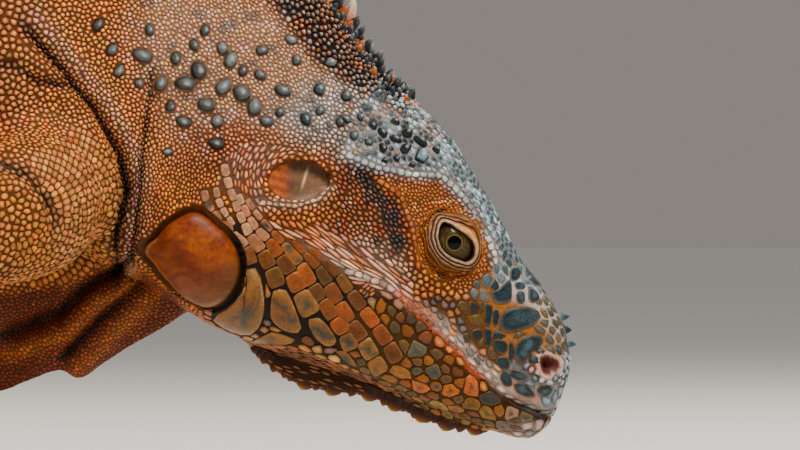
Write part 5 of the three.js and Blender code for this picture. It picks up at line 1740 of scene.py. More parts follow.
# Spots on single scales: outline, softness, colour, how rare they are (-1 all, 1 none) and patch size.
SPOTS = [
    (TUBERCLE_FIELD, 8, mix(BLUE_GREY, SLATE, 0.5), 0.5, 3), (TUBERCLE_FIELD, 8, PALE_PINK, 0.45, 2.2),
    (NAPE_BAND, 2, mix(ORANGE, BROWN, 0.35), 0.25, 3.2), (CROWN_SIDE, 4, mix(SLATE, DARK, 0.4), 0.3, 1.7),
    (CROWN_SIDE, 4, PALE_PINK, 0.3, 1.9), (TEMPLE, 3, mix(PALE_PINK, SALMON, 0.5), 0.6, 1.8),
    (TEMPLE, 3, RUST, 0.3, 3), (TEMPLE_DARK, 1.5, mix(DARK, SLATE, 0.5), -0.35, 2.6),
    (ORBIT, 1.5, mix(BROWN, DARK, 0.5), 0.38, 1.8), (ORBIT, 1.5, mix(SALMON, OCHRE, 0.4), 0.4, 2.4),
    (JAW, 1.5, mix(TEAL, DARK, 0.25), 0.52, 1.7), (JAW_FRONT, 3, mix(TEAL, OLIVE, 0.3), 0.3, 2),
    (JAW, 1.5, mix(ORANGE, RUST, 0.25), 0.25, 5), (LOWER_SNOUT, 1.5, mix(TEAL, DARK, 0.35), -0.02, 1.8),
    (LOWER_SNOUT, 1.5, mix(SALMON, OCHRE, 0.5), 0.4, 2), (SNOUT_PLATES, 1.2, mix(TEAL, DARK, 0.35), -0.55, 3),
    (CHEEK_FAN, 1.5, mix(PALE_PINK, SALMON, 0.3), 0.15, 2.6),
    (CHEEK_FAN, 1.5, mix(RUST, ORANGE, 0.4), 0.2, 2.2), (SNOUT_TIP, 1, mix(SLATE, BLUE_GREY, 0.6), 0.25, 2.4),
    (CROWN_REAR, 2, mix(ORANGE, CREAM, 0.4), 0.45, 2), (EAR_FAN, 1.5, mix(RUST, ORANGE, 0.5), 0.1, 1.5),
    (UPPER_LIP, 1, mix(TEAL, SLATE, 0.4), 0.2, 1.9), (UPPER_LIP, 1, mix(ORANGE, CORAL, 0.3), 0.25, 2.6),
    (SNOUT_TIP, 1, mix(TEAL, SLATE, 0.4), 0.2, 1.8), (CHIN_TIP, 1.5, mix(TEAL, OLIVE, 0.4), 0.15, 1.8),
    (SNOUT_FRONT, 2, mix(BLUE_GREY, TEAL, 0.4), 0, 1.7),
]


def tinted(scales, draw):
    """Gives every scale its colours: the skin's own marking there, with a painted highlight on top and painted
    shade at its edge.
    """
    t, _, _ = body_marks(scales.place)
    base = painted(scales.place, t, scales.out)
    count = len(scales)
    flat = sight(scales.place)
    head = t < NAPE
    big = scales.corners >= PLATE_RIM
    tubercle = big & (scales.flat < 0.1)
    plate = big & ~tubercle
    drawn = scales.corners == DRAWN_RIM
    near = np.nonzero(t < SPOTS_END)[0]
    chance = draw.random(len(near)) * 2 - 1
    for seed, (outline, soft, tint, rare, patch) in enumerate(SPOTS):
        value = noise(scales.place[near], patch, 50 + seed) + 0.22 * chance
        chance = np.roll(chance, 977)
        share = inside(flat[near], outline, soft) * ease(value, rare - 0.12, rare + 0.18)
        base[near] = mix(base[near], tint * DEPTH, 0.85 * share[:, None])
    spread = np.where(big | (inside(flat, JAW, 1.0) > 0.5), 0.14, 0.24)
    patches = 1 - 0.3 * ease(noise(scales.place, 4.5, 61), 0.1, 0.7) * ease(flat[:, 0], -60, -40)
    lightness = (np.exp(draw.normal(0, 1, count) * spread) * patches)[:, None]
    hue = mix(1.0, 0.25, ease(base.min(1) / base.max(1), 0.25, 0.55))[:, None]
    colour = base * lightness * np.exp(draw.normal(0, 1, (count, 3)) * (0.08, 0.13, 0.1) * hue)
    pick = draw.random(count)[:, None]
    upper = ease(flat[:, 1], 6, 34) * ease(t, 40, 60) * ease(150 - t, 0, 30)
    # Painted shade at each scale's foot (edge, rim) and a painted highlight at its peak (tip), paler and pinker
    # on the upper neck.
    edge = mix(colour * 0.14, GROOVE_SHADE, 0.5)
    tip = mix(colour * 1.75 + 0.012, PALE_PINK * 0.72, (0.12 + 0.5 * upper * pick[:, 0])[:, None])
    rim = mix(edge, colour, 0.8)
    # Tubercles and domes, with painted shade round their feet and painted highlights on top.
    stone = mix(mix(SLATE, TEAL, 0.3), mix(BLUE_GREY, OLIVE, 0.25), pick**2 * 0.5)
    dome = tubercle & (flat[:, 0] > -20)
    colour = np.where(tubercle[:, None], mix(colour, stone * 0.86, 0.92), colour)
    rim = np.where(tubercle[:, None], colour * 0.4, rim)
    colour = np.where(dome[:, None], mix(SLATE, DARK, 0.5) * 0.5, colour)
    colour = np.where((dome & (scales.wide > 1.4))[:, None], BLUE_GREY * 0.6, colour)
    tip = np.where(tubercle[:, None], mix(colour * 1.6, mix(BLUE_GREY, PALE_GREY, 0.6) * 0.75, 0.55), tip)
    # Among the tubercles the painted shade at the feet of the small scales is lighter.
    field = (inside(flat, TUBERCLE_FIELD, 6.0) * ~big)[:, None]
    edge = mix(edge, colour * 0.42, 0.7 * field)
    # Nape: pale painted highlights on the tips of the small scales.
    nape = (inside(flat, NAPE_BAND, 1.5) > 0.5) & ~big
    tip = np.where(nape[:, None], mix(colour, PALE_GREY * 0.7, pick * 0.8), tip)
    # Crown: dark middles in a pale network.
    crown = inside(flat, CROWN, 0.8) * ease(flat[:, 0], -28, -17) * head * ~big
    dark = noise(scales.place, 2.0, 62) + 0.6 * (pick[:, 0] - 0.5) + 0.3 * ease(flat[:, 0], -5, 15)
    dark = ease(dark, -0.1, 0.2)
    warm = ease(noise(scales.place, 2.6, 63), -0.1, 0.3) * ease(-flat[:, 0], -6, 6)
    pale = mix(ICE * 0.8, mix(ORANGE, CREAM, 0.25) * 0.42, 0.85 * warm[:, None])
    middle = mix(pale, mix(BLUE_GREY, SLATE, 0.7) * 0.2, dark[:, None])
    colour = mix(colour, middle * lightness, 0.85 * crown[:, None])
    tip = mix(tip, mix(middle * 0.9, SLATE * 0.4, 0.5 * dark[:, None]), crown[:, None])
    edge = mix(edge, mix(mix(SLATE, BLUE_GREY, 0.4) * 0.4, ICE * 0.55, dark[:, None]), 0.9 * crown[:, None])
    # Snout.
    snout = head & (inside(flat, SNOUT_PLATES, 0.8) > 0.5) & (np.abs(scales.place[:, 1]) > 3)
    blue = (snout | (drawn & (flat[:, 0] > 4)))[:, None]
    high = ease(flat[:, 1], -16, -10)[:, None]
    deep = mix(mix(TEAL, SLATE, 0.6), mix(BROWN, SLATE, 0.3), ease(-flat[:, :1], -10, -5) * 0.5) * 0.36
    colour = np.where(blue, deep, colour)
    brown = mix(mix(OLIVE, BROWN, 0.4) * 0.6, mix(BLUE_GREY, SLATE, 0.4) * 0.7, high)
    colour = np.where(blue & ~drawn[:, None], mix(colour, brown, pick), colour)
    # A painted highlight on the tips of the snout's scales.
    tip = np.where(blue, mix(colour * 1.2, BLUE_GREY * 0.5, 0.35 * ease(flat[:, :1], 10, 22)), tip)
    rim = np.where(blue, mix(colour, mix(mix(CREAM, ORANGE, 0.45), PALE_GREY, high) * 0.5, 0.25), rim)
    edge = np.where(blue, mix(mix(CREAM, ORANGE, 0.5), ICE, high) * 0.5, edge)
    # Jaw.
    jaw = plate & ~blue[:, 0] & (flat[:, 1] < 22)
    drift = (0.5 + 0.6 * noise(scales.place, 9.0, 64)[:, None] + 0.5 * (pick - 0.5)).clip(0, 1)
    own = mix(rgb(184, 82, 0), rgb(124, 78, 2), drift) * 0.44 * lightness
    large = scales.long > 3.2
    own = np.where(large[:, None], rgb(160, 104, 32) * 0.56 * lightness, own)
    fair = ease(flat[:, 1] - 0.9 * (flat[:, 0] + 48), -4, 4) * ease(-flat[:, 0], 36, 44)
    pink = mix(mix(PALE_PINK, SALMON, 0.5), OCHRE, pick * 0.4) * 0.62 * lightness
    own = mix(own, pink, (0.25 + 0.6 * pick) * fair[:, None])
    colour = np.where((jaw & drawn)[:, None], own, colour)
    teal = jaw[:, None] & ((flat[:, :1] > -12) | large[:, None] | (pick < 0.1))
    tip = np.where(jaw[:, None], mix(colour, BROWN * 0.6, 0.25), tip)
    tip = np.where(teal, mix(TEAL, OLIVE, 0.25) * 0.42, tip)
    front = (inside(flat, JAW_FRONT, 2.0) > 0.5)[:, None] & ~big[:, None] & head[:, None]
    brown = mix(rgb(168, 84, 8), rgb(116, 86, 16), pick) * 0.52 * lightness
    colour = np.where(front, mix(colour, brown, 0.7), colour)
    tip = np.where(front, np.where(pick > 0.45, mix(TEAL, OLIVE, 0.3) * 0.4, colour * 1.05), tip)
    rim = np.where(jaw[:, None], mix(colour * 1.2, CREAM * DEPTH, 0.16), rim)
    # Painted shade in the seams between the jaw's plates and scales.
    edge = np.where((jaw | (inside(flat, JAW, 0.8) > 0.5))[:, None], mix(GROOVE_SHADE, colour * 0.3, 0.3), edge)
    # Over the throat flap the painted shade at the feet and the painted highlights on the tips are weaker.
    throat = throat_share(scales.place)
    edge = mix(edge, colour * 0.55, 0.9 * throat[:, None])
    tip = mix(tip, colour * 1.35, 0.8 * throat[:, None])
    scales.colour, scales.edge = np.clip(colour, 0, 1), np.clip(edge, 0, 1)
    scales.rim, scales.tip = np.clip(rim, 0, 1), np.clip(tip, 0, 1)
    return t


# ---------------------------------------------------------------- which part a scale belongs to
REGIONS = [
    ('head', SNOUT, NAPE), ('neck', NAPE, NECK_END), ('trunk_front', NECK_END, TRUNK_MIDDLE),
    ('trunk_rear', TRUNK_MIDDLE, TAIL_RINGS), ('tail', TAIL_RINGS, TAIL_TIP),
]


def limb_marks(points):
    """Which leg points lie on, -1 for none, with the key down it and the angle round it."""
    which, keys, angles = np.full(len(points), -1), np.zeros(len(points)), np.zeros(len(points))
    best = np.full(len(points), np.inf)
    off = np.nonzero(np.abs(points[:, 1]) > 26)[0]
    spot = points[off]
    for index, (_, limb, _) in enumerate(LIMBS):
        stops = np.arange(1.6, limb.last + 0.01, 0.1)
        line = limb.at(stops)
        gap = dot(spot, spot)[:, None] - 2 * spot @ line.T + dot(line, line)[None, :]
        nearest = gap.argmin(1)
        distance = np.sqrt(np.maximum(gap.min(1), 0))
        key = stops[nearest]
        share = distance / (0.5 * (limb.across(key) + limb.deep(key)))
        beyond = (np.abs(spot[:, 1]) > 60) & (distance < 42)
        ok = (beyond | ((share < 1.3) & (key > 2.2))) & (distance < best[off])
        _, broad, deep = limb.frame(key)
        offset = spot - line[nearest]
        angle = np.arctan2(dot(offset, deep), dot(offset, broad))
        place = off[ok]
        which[place], keys[place], angles[place], best[place] = index, key[ok], angle[ok], distance[ok]
    return which, keys, angles


def roots_on_map(scales, t, limb_index, key, angle):
    """Where each scale's root lies on a flat map of the skin, and the name of its piece."""
    _, side, height = body_marks(scales.place)
    left = scales.place[:, 1] >= 0
    around = np.arctan2(height - level_at(t), side) / (2 * np.pi) + 0.5
    names = np.full(len(scales), "", dtype=object)
    u = np.zeros(len(scales))
    for name, low, high in REGIONS:
        here = (t >= low) & (t < high) & (limb_index < 0)
        names[here] = name if name == "tail" else np.where(left[here], name + "_left", name + "_right")
        u[here] = (t[here] - low) / (high - low)
    for index, (name, limb, _) in enumerate(LIMBS):
        here = limb_index == index
        names[here] = name
        u[here] = key[here] / limb.last
        around[here] = angle[here] / (2 * np.pi) + 0.5
    return np.stack([np.clip(0.02 + 0.96 * u, 0.01, 0.99), np.clip(around, 0.002, 0.998)], 1), names


# ---------------------------------------------------------------- crest, horns, claws
CREST_HEIGHT = [
    (32, 2.2), (40, 2.8), (48, 3.4), (53, 5), (60, 10), (68, 18), (84, 27), (110, 31), (170, 30), (240, 24),
    (340, 15), (VENT, 9), (560, 7), (760, 4.5), (900, 2.6),
]
CREST_SPACING = [(32, 3.6), (48, 5), (60, 6.6), (180, 7.6), (340, 8.4), (VENT, 10), (900, 17)]
CREST_WIDTH = [(1, 1.6), (6, 3.6), (12, 5.6), (30, 6.6)]
CREST_LEAN = 0.16
CREST_START, CREST_END = 33.0, 900.0
NAPE_CONES = (27.0, 58.0)     # where the cones beside the first spines begin and end
SNOUT_HORNS = [(33.5, 2.2), (36.4, 0.6), (39, -1.8)]
SPINE_SHAPE = curve([(-0.3, 1), (0, 1), (0.3, 0.84), (0.6, 0.62), (0.85, 0.33), (0.97, 0.12), (1, 0.03)])


def one_spine(root, axis, lean, length, width, thickness, tints, around=12, rings=11):
    """A flattened, slightly hooked spine from under the skin to its tip."""
    side = unit(np.cross(axis, lean))
    fore = unit(np.cross(side, axis))
    sunk = min(2.5, 0.6 * width + 1)
    angle = round_angles(around)
    shape, shades = [], []
    for f in np.linspace(0, 1, rings) ** 0.85:
        height = mix(-sunk, length, f)
        share = max(height, 0) / length
        hook = 0.25 * length * share**2
        middle = root + axis * height + lean * hook
        size = float(SPINE_SHAPE(height / length))
        ridge = 1 + 0.06 * np.cos(6 * angle)
        shape.append(middle + (np.cos(angle) * ridge)[:, None] * fore * size * width / 2
                     + (np.sin(angle) * ridge)[:, None] * side * size * thickness / 2)
        shades.append(share)
    points, faces = closed_skin(shape)
    share = np.concatenate([np.repeat(shades, around), [0, 1]])
    stops = np.linspace(0, 1, len(tints))
    colours = np.stack([np.interp(share, stops, [t[k] for t in tints]) for k in range(3)], 1)
    return points, faces, colours


def gathered(parts):
    """One set of points, triangles and colours from several."""
    points = np.vstack([p for p, _, _ in parts])
    starts = np.cumsum([0] + [len(p) for p, _, _ in parts[:-1]])
    faces = np.vstack([f + start for (_, f, _), start in zip(parts, starts)])
    return points, faces, np.vstack([c for _, _, c in parts])


def draws(seed):
    """Evenly spread numbers from 0 to 1, the same ones that the solids use."""
    state = seed
    while True:
        state = (state * 1664525 + 1013904223) % 2**32
        yield state / 2**32


def crest_spines(scale):
    height_at, spacing_at, width_at = curve(CREST_HEIGHT), curve(CREST_SPACING), curve(CREST_WIDTH)
    number = draws(SEED)
    made = []
    t = CREST_START
    while t < CREST_END:
        length = float(height_at(t)) * (0.88 + 0.24 * next(number)) * scale
        width = float(width_at(length))
        point, forward, _, up = (v[0] for v in spine_frame(np.array([t])))
        back = -forward
        axis = unit(up + back * CREST_LEAN)
        root = point + up * float(top_at(t))
        shade = float(ease(t, 50, 56))
        low = mix(mix(SLATE, DARK, 0.5), mix(SALMON, PALE_PINK, 0.3), shade) * 0.7
        high = mix(mix(SLATE, PALE_GREY, 0.3), mix(PALE_PINK, CREAM, 0.1), shade) * 0.8
        tail = float(ease(t, 420, 520))
        low, high = mix(low, mix(BROWN, SLATE, 0.3), tail), mix(high, mix(OCHRE, PALE_GREY, 0.4), tail)
        tints = [mix(low, DARK, 0.5), low, mix(low, high, 0.45), high, high]
        made.append(one_spine(root, axis, back, length, width, max(1.2, width * 0.42), tints))
        t += float(spacing_at(t))
    return gathered(made)


def nape_cones(surface):
    """Short dark cones with pale tips, a painted highlight, over the nape, on both sides of the first spines.
    """
    number = draws(SEED + 4)
    made = []
    t = NAPE_CONES[0]
    while t < NAPE_CONES[1]:
        for _, side in SIDES:
            for row in range(4):
                off = 1.6 + 3.1 * row + 1.6 * (next(number) - 0.5)
                length = mix(3.8, 1.8, row / 3) * (0.7 + 0.6 * next(number)) * float(ease(t, 23, 34))
                there = np.array([t + 2.2 * next(number)])
                place, out, _ = surface.nearest(spine_point(there, side * off, top_at(t) + 4.0))
                _, forward, _, _ = spine_frame(np.array([t]))
                warm = next(number) < 0.12
                low = mix(RUST, ORANGE, 0.5) * 0.5 if warm else mix(SLATE, DARK, 0.55) * 0.5
                # The pale tip is a painted highlight.
                tints = [low * 0.6, low, low * 1.2, mix(low, PALE_GREY * 0.7, 0.1 + 0.4 * next(number))]
                made.append(one_spine(place[0], out[0], -forward[0], length, 2.7, 2.3, tints, 8, 7))
        t += 3.0
    return made


def snout_horns(surface):
    made = []
    for _, side in SIDES:
        flat = [(x * HEAD_FORWARD + z * HEAD_UP)[::2] for x, z in SNOUT_HORNS]
        places, outs = seen_on(surface, flat, side)
        for place, out, length in zip(places, outs, (3.3, 2.5, 2.9)):
            ahead = unit(HEAD_FORWARD - out * dot(HEAD_FORWARD, out))
            tints = [mix(CREAM, BLUE_GREY, 0.6) * 0.7, mix(BLUE_GREY, SLATE, 0.6) * 0.7, SLATE,
                     mix(SLATE, BLUE_GREY, 0.3)]
            made.append(one_spine(place - out * 0.5, out, ahead, length, 2.6, 2.3, tints))
    return made


def fringe_spikes():
    depth_at = curve(FRINGE)
    down = unit(-HEAD_UP + HEAD_FORWARD * 0.15)
    low = mix(BROWN, RUST, 0.5)
    large = [BROWN * 0.3, low * 0.4, mix(RUST, OLIVE, 0.5) * 0.5, mix(OLIVE, LIME, 0.7) * 0.8]
    small = [BROWN * 0.3, low * 0.45, mix(RUST, OLIVE, 0.6) * 0.6]
    spikes = [(forward, 0.8, 2.1, 5.2, 2.2, large) for forward in FRINGE_SPIKES]
    spikes += [(forward, 0.7, 1.1 + 0.5 * math.sin(forward * 2.3), 2.8, 1.8, small)
               for forward in np.arange(-22.0, 36.0, 1.6)]
    made = []
    for forward, sunk, *form in spikes:
        root = head_point(forward, 0.0, underside_at(-forward) - depth_at(forward) + sunk)
        made.append(one_spine(root, down, HEAD_FORWARD * 0.4, *form))
    return made


def claws():
    made = []
    for _, _, toes in LIMBS:
        for toe in toes:
            ahead = unit((toe.places[-1] - toe.places[-3]) * (1, 1, 0))
            start = toe.places[-1] - ahead * 2.6
            rings, around = 22, 14
            points, faces = low_limb(start, ahead, CLAW_STOPS, TOE_THICK * 0.78).skin(rings, around)
            share = np.append(np.linspace(0, 1, rings).repeat(around), [0, 1])[:, None]
            colours = mix(mix(BROWN, OLIVE, 0.4), mix(DARK, SLATE, 0.2), ease(share, 0.1, 0.7))
            made.append((points, faces, colours))
    return gathered(made)


# ---------------------------------------------------------------- eyes, ear drums, jaw shields
PUPIL, PALE_RING, IRIS = 1.75, 2.1, 4.6
PLATE_BACK = 1.2              # how deep the rim of an ear drum or shield is


def eye_form(side):
    """An eyeball with its clear front a little proud, painted in rings round the pupil."""
    place = eye_place(side)
    around = 96
    angle = round_angles(around)
    polar = np.concatenate([np.linspace(0.004, 0.75, 46), np.linspace(0.79, np.pi - 0.02, 22)])
    rings, colours = [], []
    for theta in polar:
        swell = 0.28 * bell(theta, 0.5)
        radius = EYEBALL_RADIUS - 0.1 + swell
        r, w = radius * math.sin(theta), radius * math.cos(theta)
        rings.append(place.at(r * np.cos(angle), r * np.sin(angle), np.full(around, w)))
        spot = np.stack([np.cos(angle) * r, np.sin(angle) * r, np.full(around, float(side))], 1)
        streak = noise(np.stack([np.cos(angle) * 3, np.sin(angle) * 3, np.full(around, r * 0.7)], 1), 0.35, 21)
        ring = 0.5 + 0.5 * np.cos(2 * np.pi * (r - PALE_RING) / 0.62)
        pale = (0.6 * ring**3 + 0.25 * streak).clip(0, 1)[:, None]
        iris = mix(mix(OLIVE, DARK, 0.8) * 0.5, mix(OLIVE, CREAM, 0.25) * 0.34, pale)
        iris = mix(iris, mix(DARK, OLIVE, 0.1) * 0.6, ease(r, 2.9, IRIS))
        shade = mix(np.broadcast_to(rgb(1, 1, 2), iris.shape), iris, ease(r, PUPIL - 0.1, PUPIL + 0.12))
        shade = mix(shade, mix(CREAM, OLIVE, 0.5) * 0.3, 0.6 * bell(r - PALE_RING + 0.12, 0.14))
        shade = mix(shade, DARK, ease(r, IRIS - 0.1, IRIS + 0.5))
        shade = shade * (1 + 0.12 * noise(spot, 0.5, 22))[:, None]
        colours.append(shade)
    points, faces = closed_skin(rings)
    return points, outward(points - place.centre, faces), with_hubs(colours)


def plate_form(place, radius_of, out_of, colour_of, rings, around):
    """A closed plate set in the skin round a mark: `radius_of` an angle, and height `out_of` the skin and
    `colour_of` the plate by share from the middle and place."""
    plump, _, _ = body_forms()
    angle = round_angles(around)
    shape, colours = [], []
    for share in np.linspace(0.02, 1, rings) ** 0.8:
        reach = radius_of(angle) * share
        u, v = reach * np.cos(angle), reach * np.sin(angle)
        w = plump.height(place, u, v) + out_of(share, u, v)
        shape.append(place.at(u, v, w))
        colours.append(colour_of(share, u, v))
    # The back wall, sunk into the skin, is painted at half the colour as painted shade.
    shape.append(shape[-1] - place.out * PLATE_BACK)
    colours.append(colours[-1] * 0.5)
    points, faces = closed_skin(shape)
    return points, outward(points - points.mean(0), faces), with_hubs(colours)


def ear_drum_form(side):
    place = ear_place(side)

    def radius_of(angle):
        a, b = turned(np.cos(angle), np.sin(angle), EAR_TURN)
        return 1.12 / np.hypot(a / EAR_RADII[0], b / EAR_RADII[1])

    def out_of(share, u, v):
        slope = ease(-u, 0.5, 5.5)
        drum = -2.2 - 0.6 * (1 - share**2) + 0.07 * np.sin(2.6 * v + 0.5 * u) * slope
        return mix(drum, -0.9, 0.75 * slope * share)

    def colour_of(share, u, v):
        spot = np.stack([u, v, np.full_like(u, 3.0 * side)], 1)
        wander = 0.5 * noise(spot, 1.5, 32)
        light = (0.4 + 0.22 * noise(spot, 3.2, 31) + 0.25 * ease(u, -1, 3)).clip(0, 1)
        drum = mix(rgb(66, 44, 28), rgb(134, 98, 70), light[:, None])
        # Painted shade over the upper part of the drum, below the upper edge of its recess.
        drum = mix(drum, DARK, (0.65 * ease(v + 0.2 * u, 1.2, 3.8))[:, None])
        streak = bell(u - 1.0 - 0.3 * v + 0.5 * wander, 0.3) * bell(v - 1.0, 1.9)
        drum = mix(drum, mix(PALE_PINK, CREAM, 0.5) * 0.9, 0.8 * streak[:, None])
        spot = bell(np.hypot(u + 2.6, 1.3 * v + 1.2), 1.1)[:, None]
        drum = mix(drum, mix(SLATE, TEAL, 0.4) * 0.5, 0.85 * spot)
        stripe = (0.5 + 0.5 * np.sin(2.6 * v + 0.5 * u + wander))[:, None]
        slope = mix(rgb(146, 66, 22), rgb(184, 92, 42), stripe) * 0.75
        shade = mix(drum, slope, ease(-u + wander, 1.4, 4.8)[:, None])
        # Painted shade round the drum's edge, where it sinks into the skin.
        return mix(shade, CREASE_SHADE, ease(share, 0.9, 1.0) * 0.7)

    return plate_form(place, radius_of, out_of, colour_of, 30, 96)


def jaw_shield_form(side):
    place = shield_place(side)

    def out_of(share, u, v):
        spot = np.stack([u, v, np.full_like(u, 5.0 * side)], 1)
        dimple = 0.07 * noise(spot, 1.3, 41) + 0.05 * np.sin(2.2 * np.hypot(u + 4, v - 5))
        return mix(-1.7, 0.75, (1 - share**9) ** 0.5) + 0.7 * (1 - share**2) + dimple * (1 - share**4)

    def colour_of(share, u, v):
        spot = np.stack([u + 0.9 * np.sin(v / 2.1), v + 0.9 * np.sin(u / 1.7), np.full_like(u, 5.0 * side)], 1)
        swirl = noise(spot * (0.45, 1.3, 1), 1.5, 42)
        blotch = noise(spot, 3.6, 43)
        shade = mix(mix(RUST, BROWN, 0.25), mix(ORANGE, RUST, 0.25), (0.5 + 0.5 * swirl)[:, None]) * 0.42
        shade = mix(shade, mix(BROWN, RUST, 0.5) * 0.5, (0.65 * ease(blotch, 0.0, 0.6))[:, None])
        shade = mix(shade, mix(BROWN, OLIVE, 0.4) * 0.45, (0.6 * ease(u - v, 4, 16))[:, None])
        pale = ease(share, 0.86, 0.97) * ease(-u - v, 0, 8)[:, None]
        shade = mix(shade, mix(CREAM, ORANGE, 0.5) * 0.5, 0.6 * pale)
        # Painted shade round the shield's edge, in the groove about it.
        return mix(shade, DARK, ease(share, 0.95, 1.0) * 0.7)

    return plate_form(place, shield_edge, out_of, colour_of, 44, 128)


# ---------------------------------------------------------------- the body, made once for all pieces
def naked(points):
    """Where the skin shows bare and pale: the nostril's rim and the lips."""
    flat = sight(points)
    ring = nostril_share(head_marks(flat))
    gap, _ = line_distance(flat, MOUTH_LINE)
    return np.maximum(ease(1.15 - ring, 0, 0.2), 0.8 * ease(0.9 - gap, 0, 0.4)) * (points[:, 0] > -14)


def groove_shades(points, t, usual):
    """How dark the skin is between the scales at points: painted shade in the gaps, lighter over the throat
    flap.
    """
    share = np.full(len(points), usual)
    near = np.nonzero(t < AREAS_END)[0]
    flat = sight(points[near])
    for outline, soft, shade in GROOVES:
        share[near] = mix(share[near], shade, inside(flat, outline, soft))
    throat = throat_share(points)
    return mix(share, 0.55, 0.95 * throat)[:, None]


def lid_colours(points):
    """Salmon margins and brown folds of the lids, with painted shade in the folds' troughs and at the opening's
    edge.
    """
    shade = np.empty_like(points)
    for _, side in SIDES:
        u, v, _ = eye_place(side).marks(points)
        own = points[:, 1] * side > 0
        angle = np.arctan2(v, u)
        off = np.hypot(u, v) - aperture(angle)
        front, margin, wave = lid_folds(angle, off)
        fold = (0.5 + 0.5 * wave)[:, None]
        near = mix(mix(CORAL, OCHRE, 0.5), mix(PALE_PINK, CREAM, 0.5) * 0.8, (0.75 * (1 - front))[:, None])
        ridge = mix(near, mix(RUST, OCHRE, 0.45) * 0.8, ease(off, 1.2, 3.4)[:, None])
        # The folds' troughs are painted darker than their crests: painted shade.
        tone = mix(mix(mix(BROWN, DARK, 0.6) * 0.6, ridge * 0.45, ease(off, 1.5, 4)[:, None]), ridge, fold**1.3)
        lip = mix(mix(PALE_PINK, CREAM, 0.4) * 0.8, mix(SALMON, CREAM, 0.35), front[:, None])
        tone = mix(tone, lip, ease(margin - off, -0.1, 0.25)[:, None])
        # Painted shade at the edge of the opening, where the lid meets the eye.
        tone = mix(tone, DARK, (1 - ease(off, -0.05, 0.2))[:, None])
        tone = tone * (1 + 0.25 * noise(points, 0.8, 71))[:, None]
        shade[own] = tone[own] * DEPTH
    return shade


def body_forms():
    """The skin before and after its hollows, and the lids, as surfaces; made once and kept."""
    if not hasattr(body_forms, "made"):
        points, faces = whole_skin()
        plump = Surface(points, faces)
        lids = [lid_skin(eye_place(side), plump) for _, side in SIDES]
        lid_points = np.vstack([p for p, _ in lids])
        lid_faces = np.vstack([lids[0][1], lids[1][1] + len(lids[0][0])])
        body_forms.made = plump, Surface(hollowed(points), faces), Surface(lid_points, lid_faces)
    return body_forms.made


def coat_scales(near_only):
    """All the scales of the body, the lids and the drawn plates, set, thinned and spread out, with the skins
    they lie on and the random draw.
    """
    _, skin, lids = body_forms()
    draw = np.random.default_rng(SEED)
    placed = placed_scales(skin)
    rows = [] if near_only else tail_scales()
    scattered = scattered_scales(skin, lids, draw, NECK_END if near_only else TAIL_RINGS)
    whole = Scales.joined(placed + rows + scattered)
    kept = thinned(whole)
    on_lids = kept >= len(whole) - len(scattered[1])
    fixed = int((kept < sum(len(part) for part in placed + rows)).sum())
    body = spread_out(whole.only(kept[~on_lids]), fixed, skin, 3)
    lid = spread_out(whole.only(kept[on_lids]), 0, lids, 2)
    return body, lid, drawn_scales(skin), skin, lids, draw


def make_coat(settings, near_only):
    """Scale pieces for every region."""
    body, lid, (drawn, rims), skin, lids, draw = coat_scales(near_only)
    pieces = {}
    for scales, surface in ((body, skin), (lid, lids), (drawn, skin)):
        t = tinted(scales, draw)
        limb_index, key, angle = limb_marks(scales.place)
        roots, names = roots_on_map(scales, t, limb_index, key, angle)
        scales.rise = scales.rise * settings.scale_rise
        near = neighbours(scales.place, scales.place, 13)
        for corners in (DRAWN_RIM, PLATE_RIM, RIDGE_RIM, SMALL_RIM, PLAIN_RIM):
            index = np.nonzero(scales.corners == corners)[0]
            if not len(index):
                continue
            detail = corners >= RIDGE_RIM
            if scales is drawn:
                around = None
            elif detail:
                around = neighbours(scales.place, scales.place[index], 48 if corners == PLATE_RIM else 16)
            else:
                big = np.nonzero(scales.corners == PLATE_RIM)[0]
                around = near[index]
                if len(big):
                    close = big[neighbours(scales.place[big], scales.place[index], 4)]
                    around = np.concatenate([around, close], 1)
            points, faces, colours, spread = scale_mesh(scales, index, around, corners, detail, surface, draw,
                                                        roots[index], rims if scales is drawn else None)
            each, tris = len(points) // len(index), len(faces) // len(index)
            for name in sorted(set(names[index])):
                chosen = np.nonzero(names[index] == name)[0]
                rows = (chosen[:, None] * each + np.arange(each)).ravel()
                shape = faces[:tris] + (np.arange(len(chosen)) * each)[:, None, None]
                part = points[rows], shape.reshape(-1, 3), colours[rows], spread[rows]
                pieces.setdefault(name, []).append(part)
    made = []
    for name, parts in sorted(pieces.items()):
        points, faces, colours = gathered([p[:3] for p in parts])
        made.append(make_mesh("scales_" + name, points, faces, colours, np.vstack([p[3] for p in parts])))
    return made


# ---------------------------------------------------------------- finishes
def add_node(material, kind, values):
    """A new shader node with the given values on its inputs."""
    made = material.node_tree.nodes.new("ShaderNode" + kind)
    for name, value in values.items():
        made.inputs[name].default_value = value
    return made


def add_range(material, *ends):
    return add_node(material, "MapRange", dict(zip(("From Min", "From Max", "To Min", "To Max"), ends)))


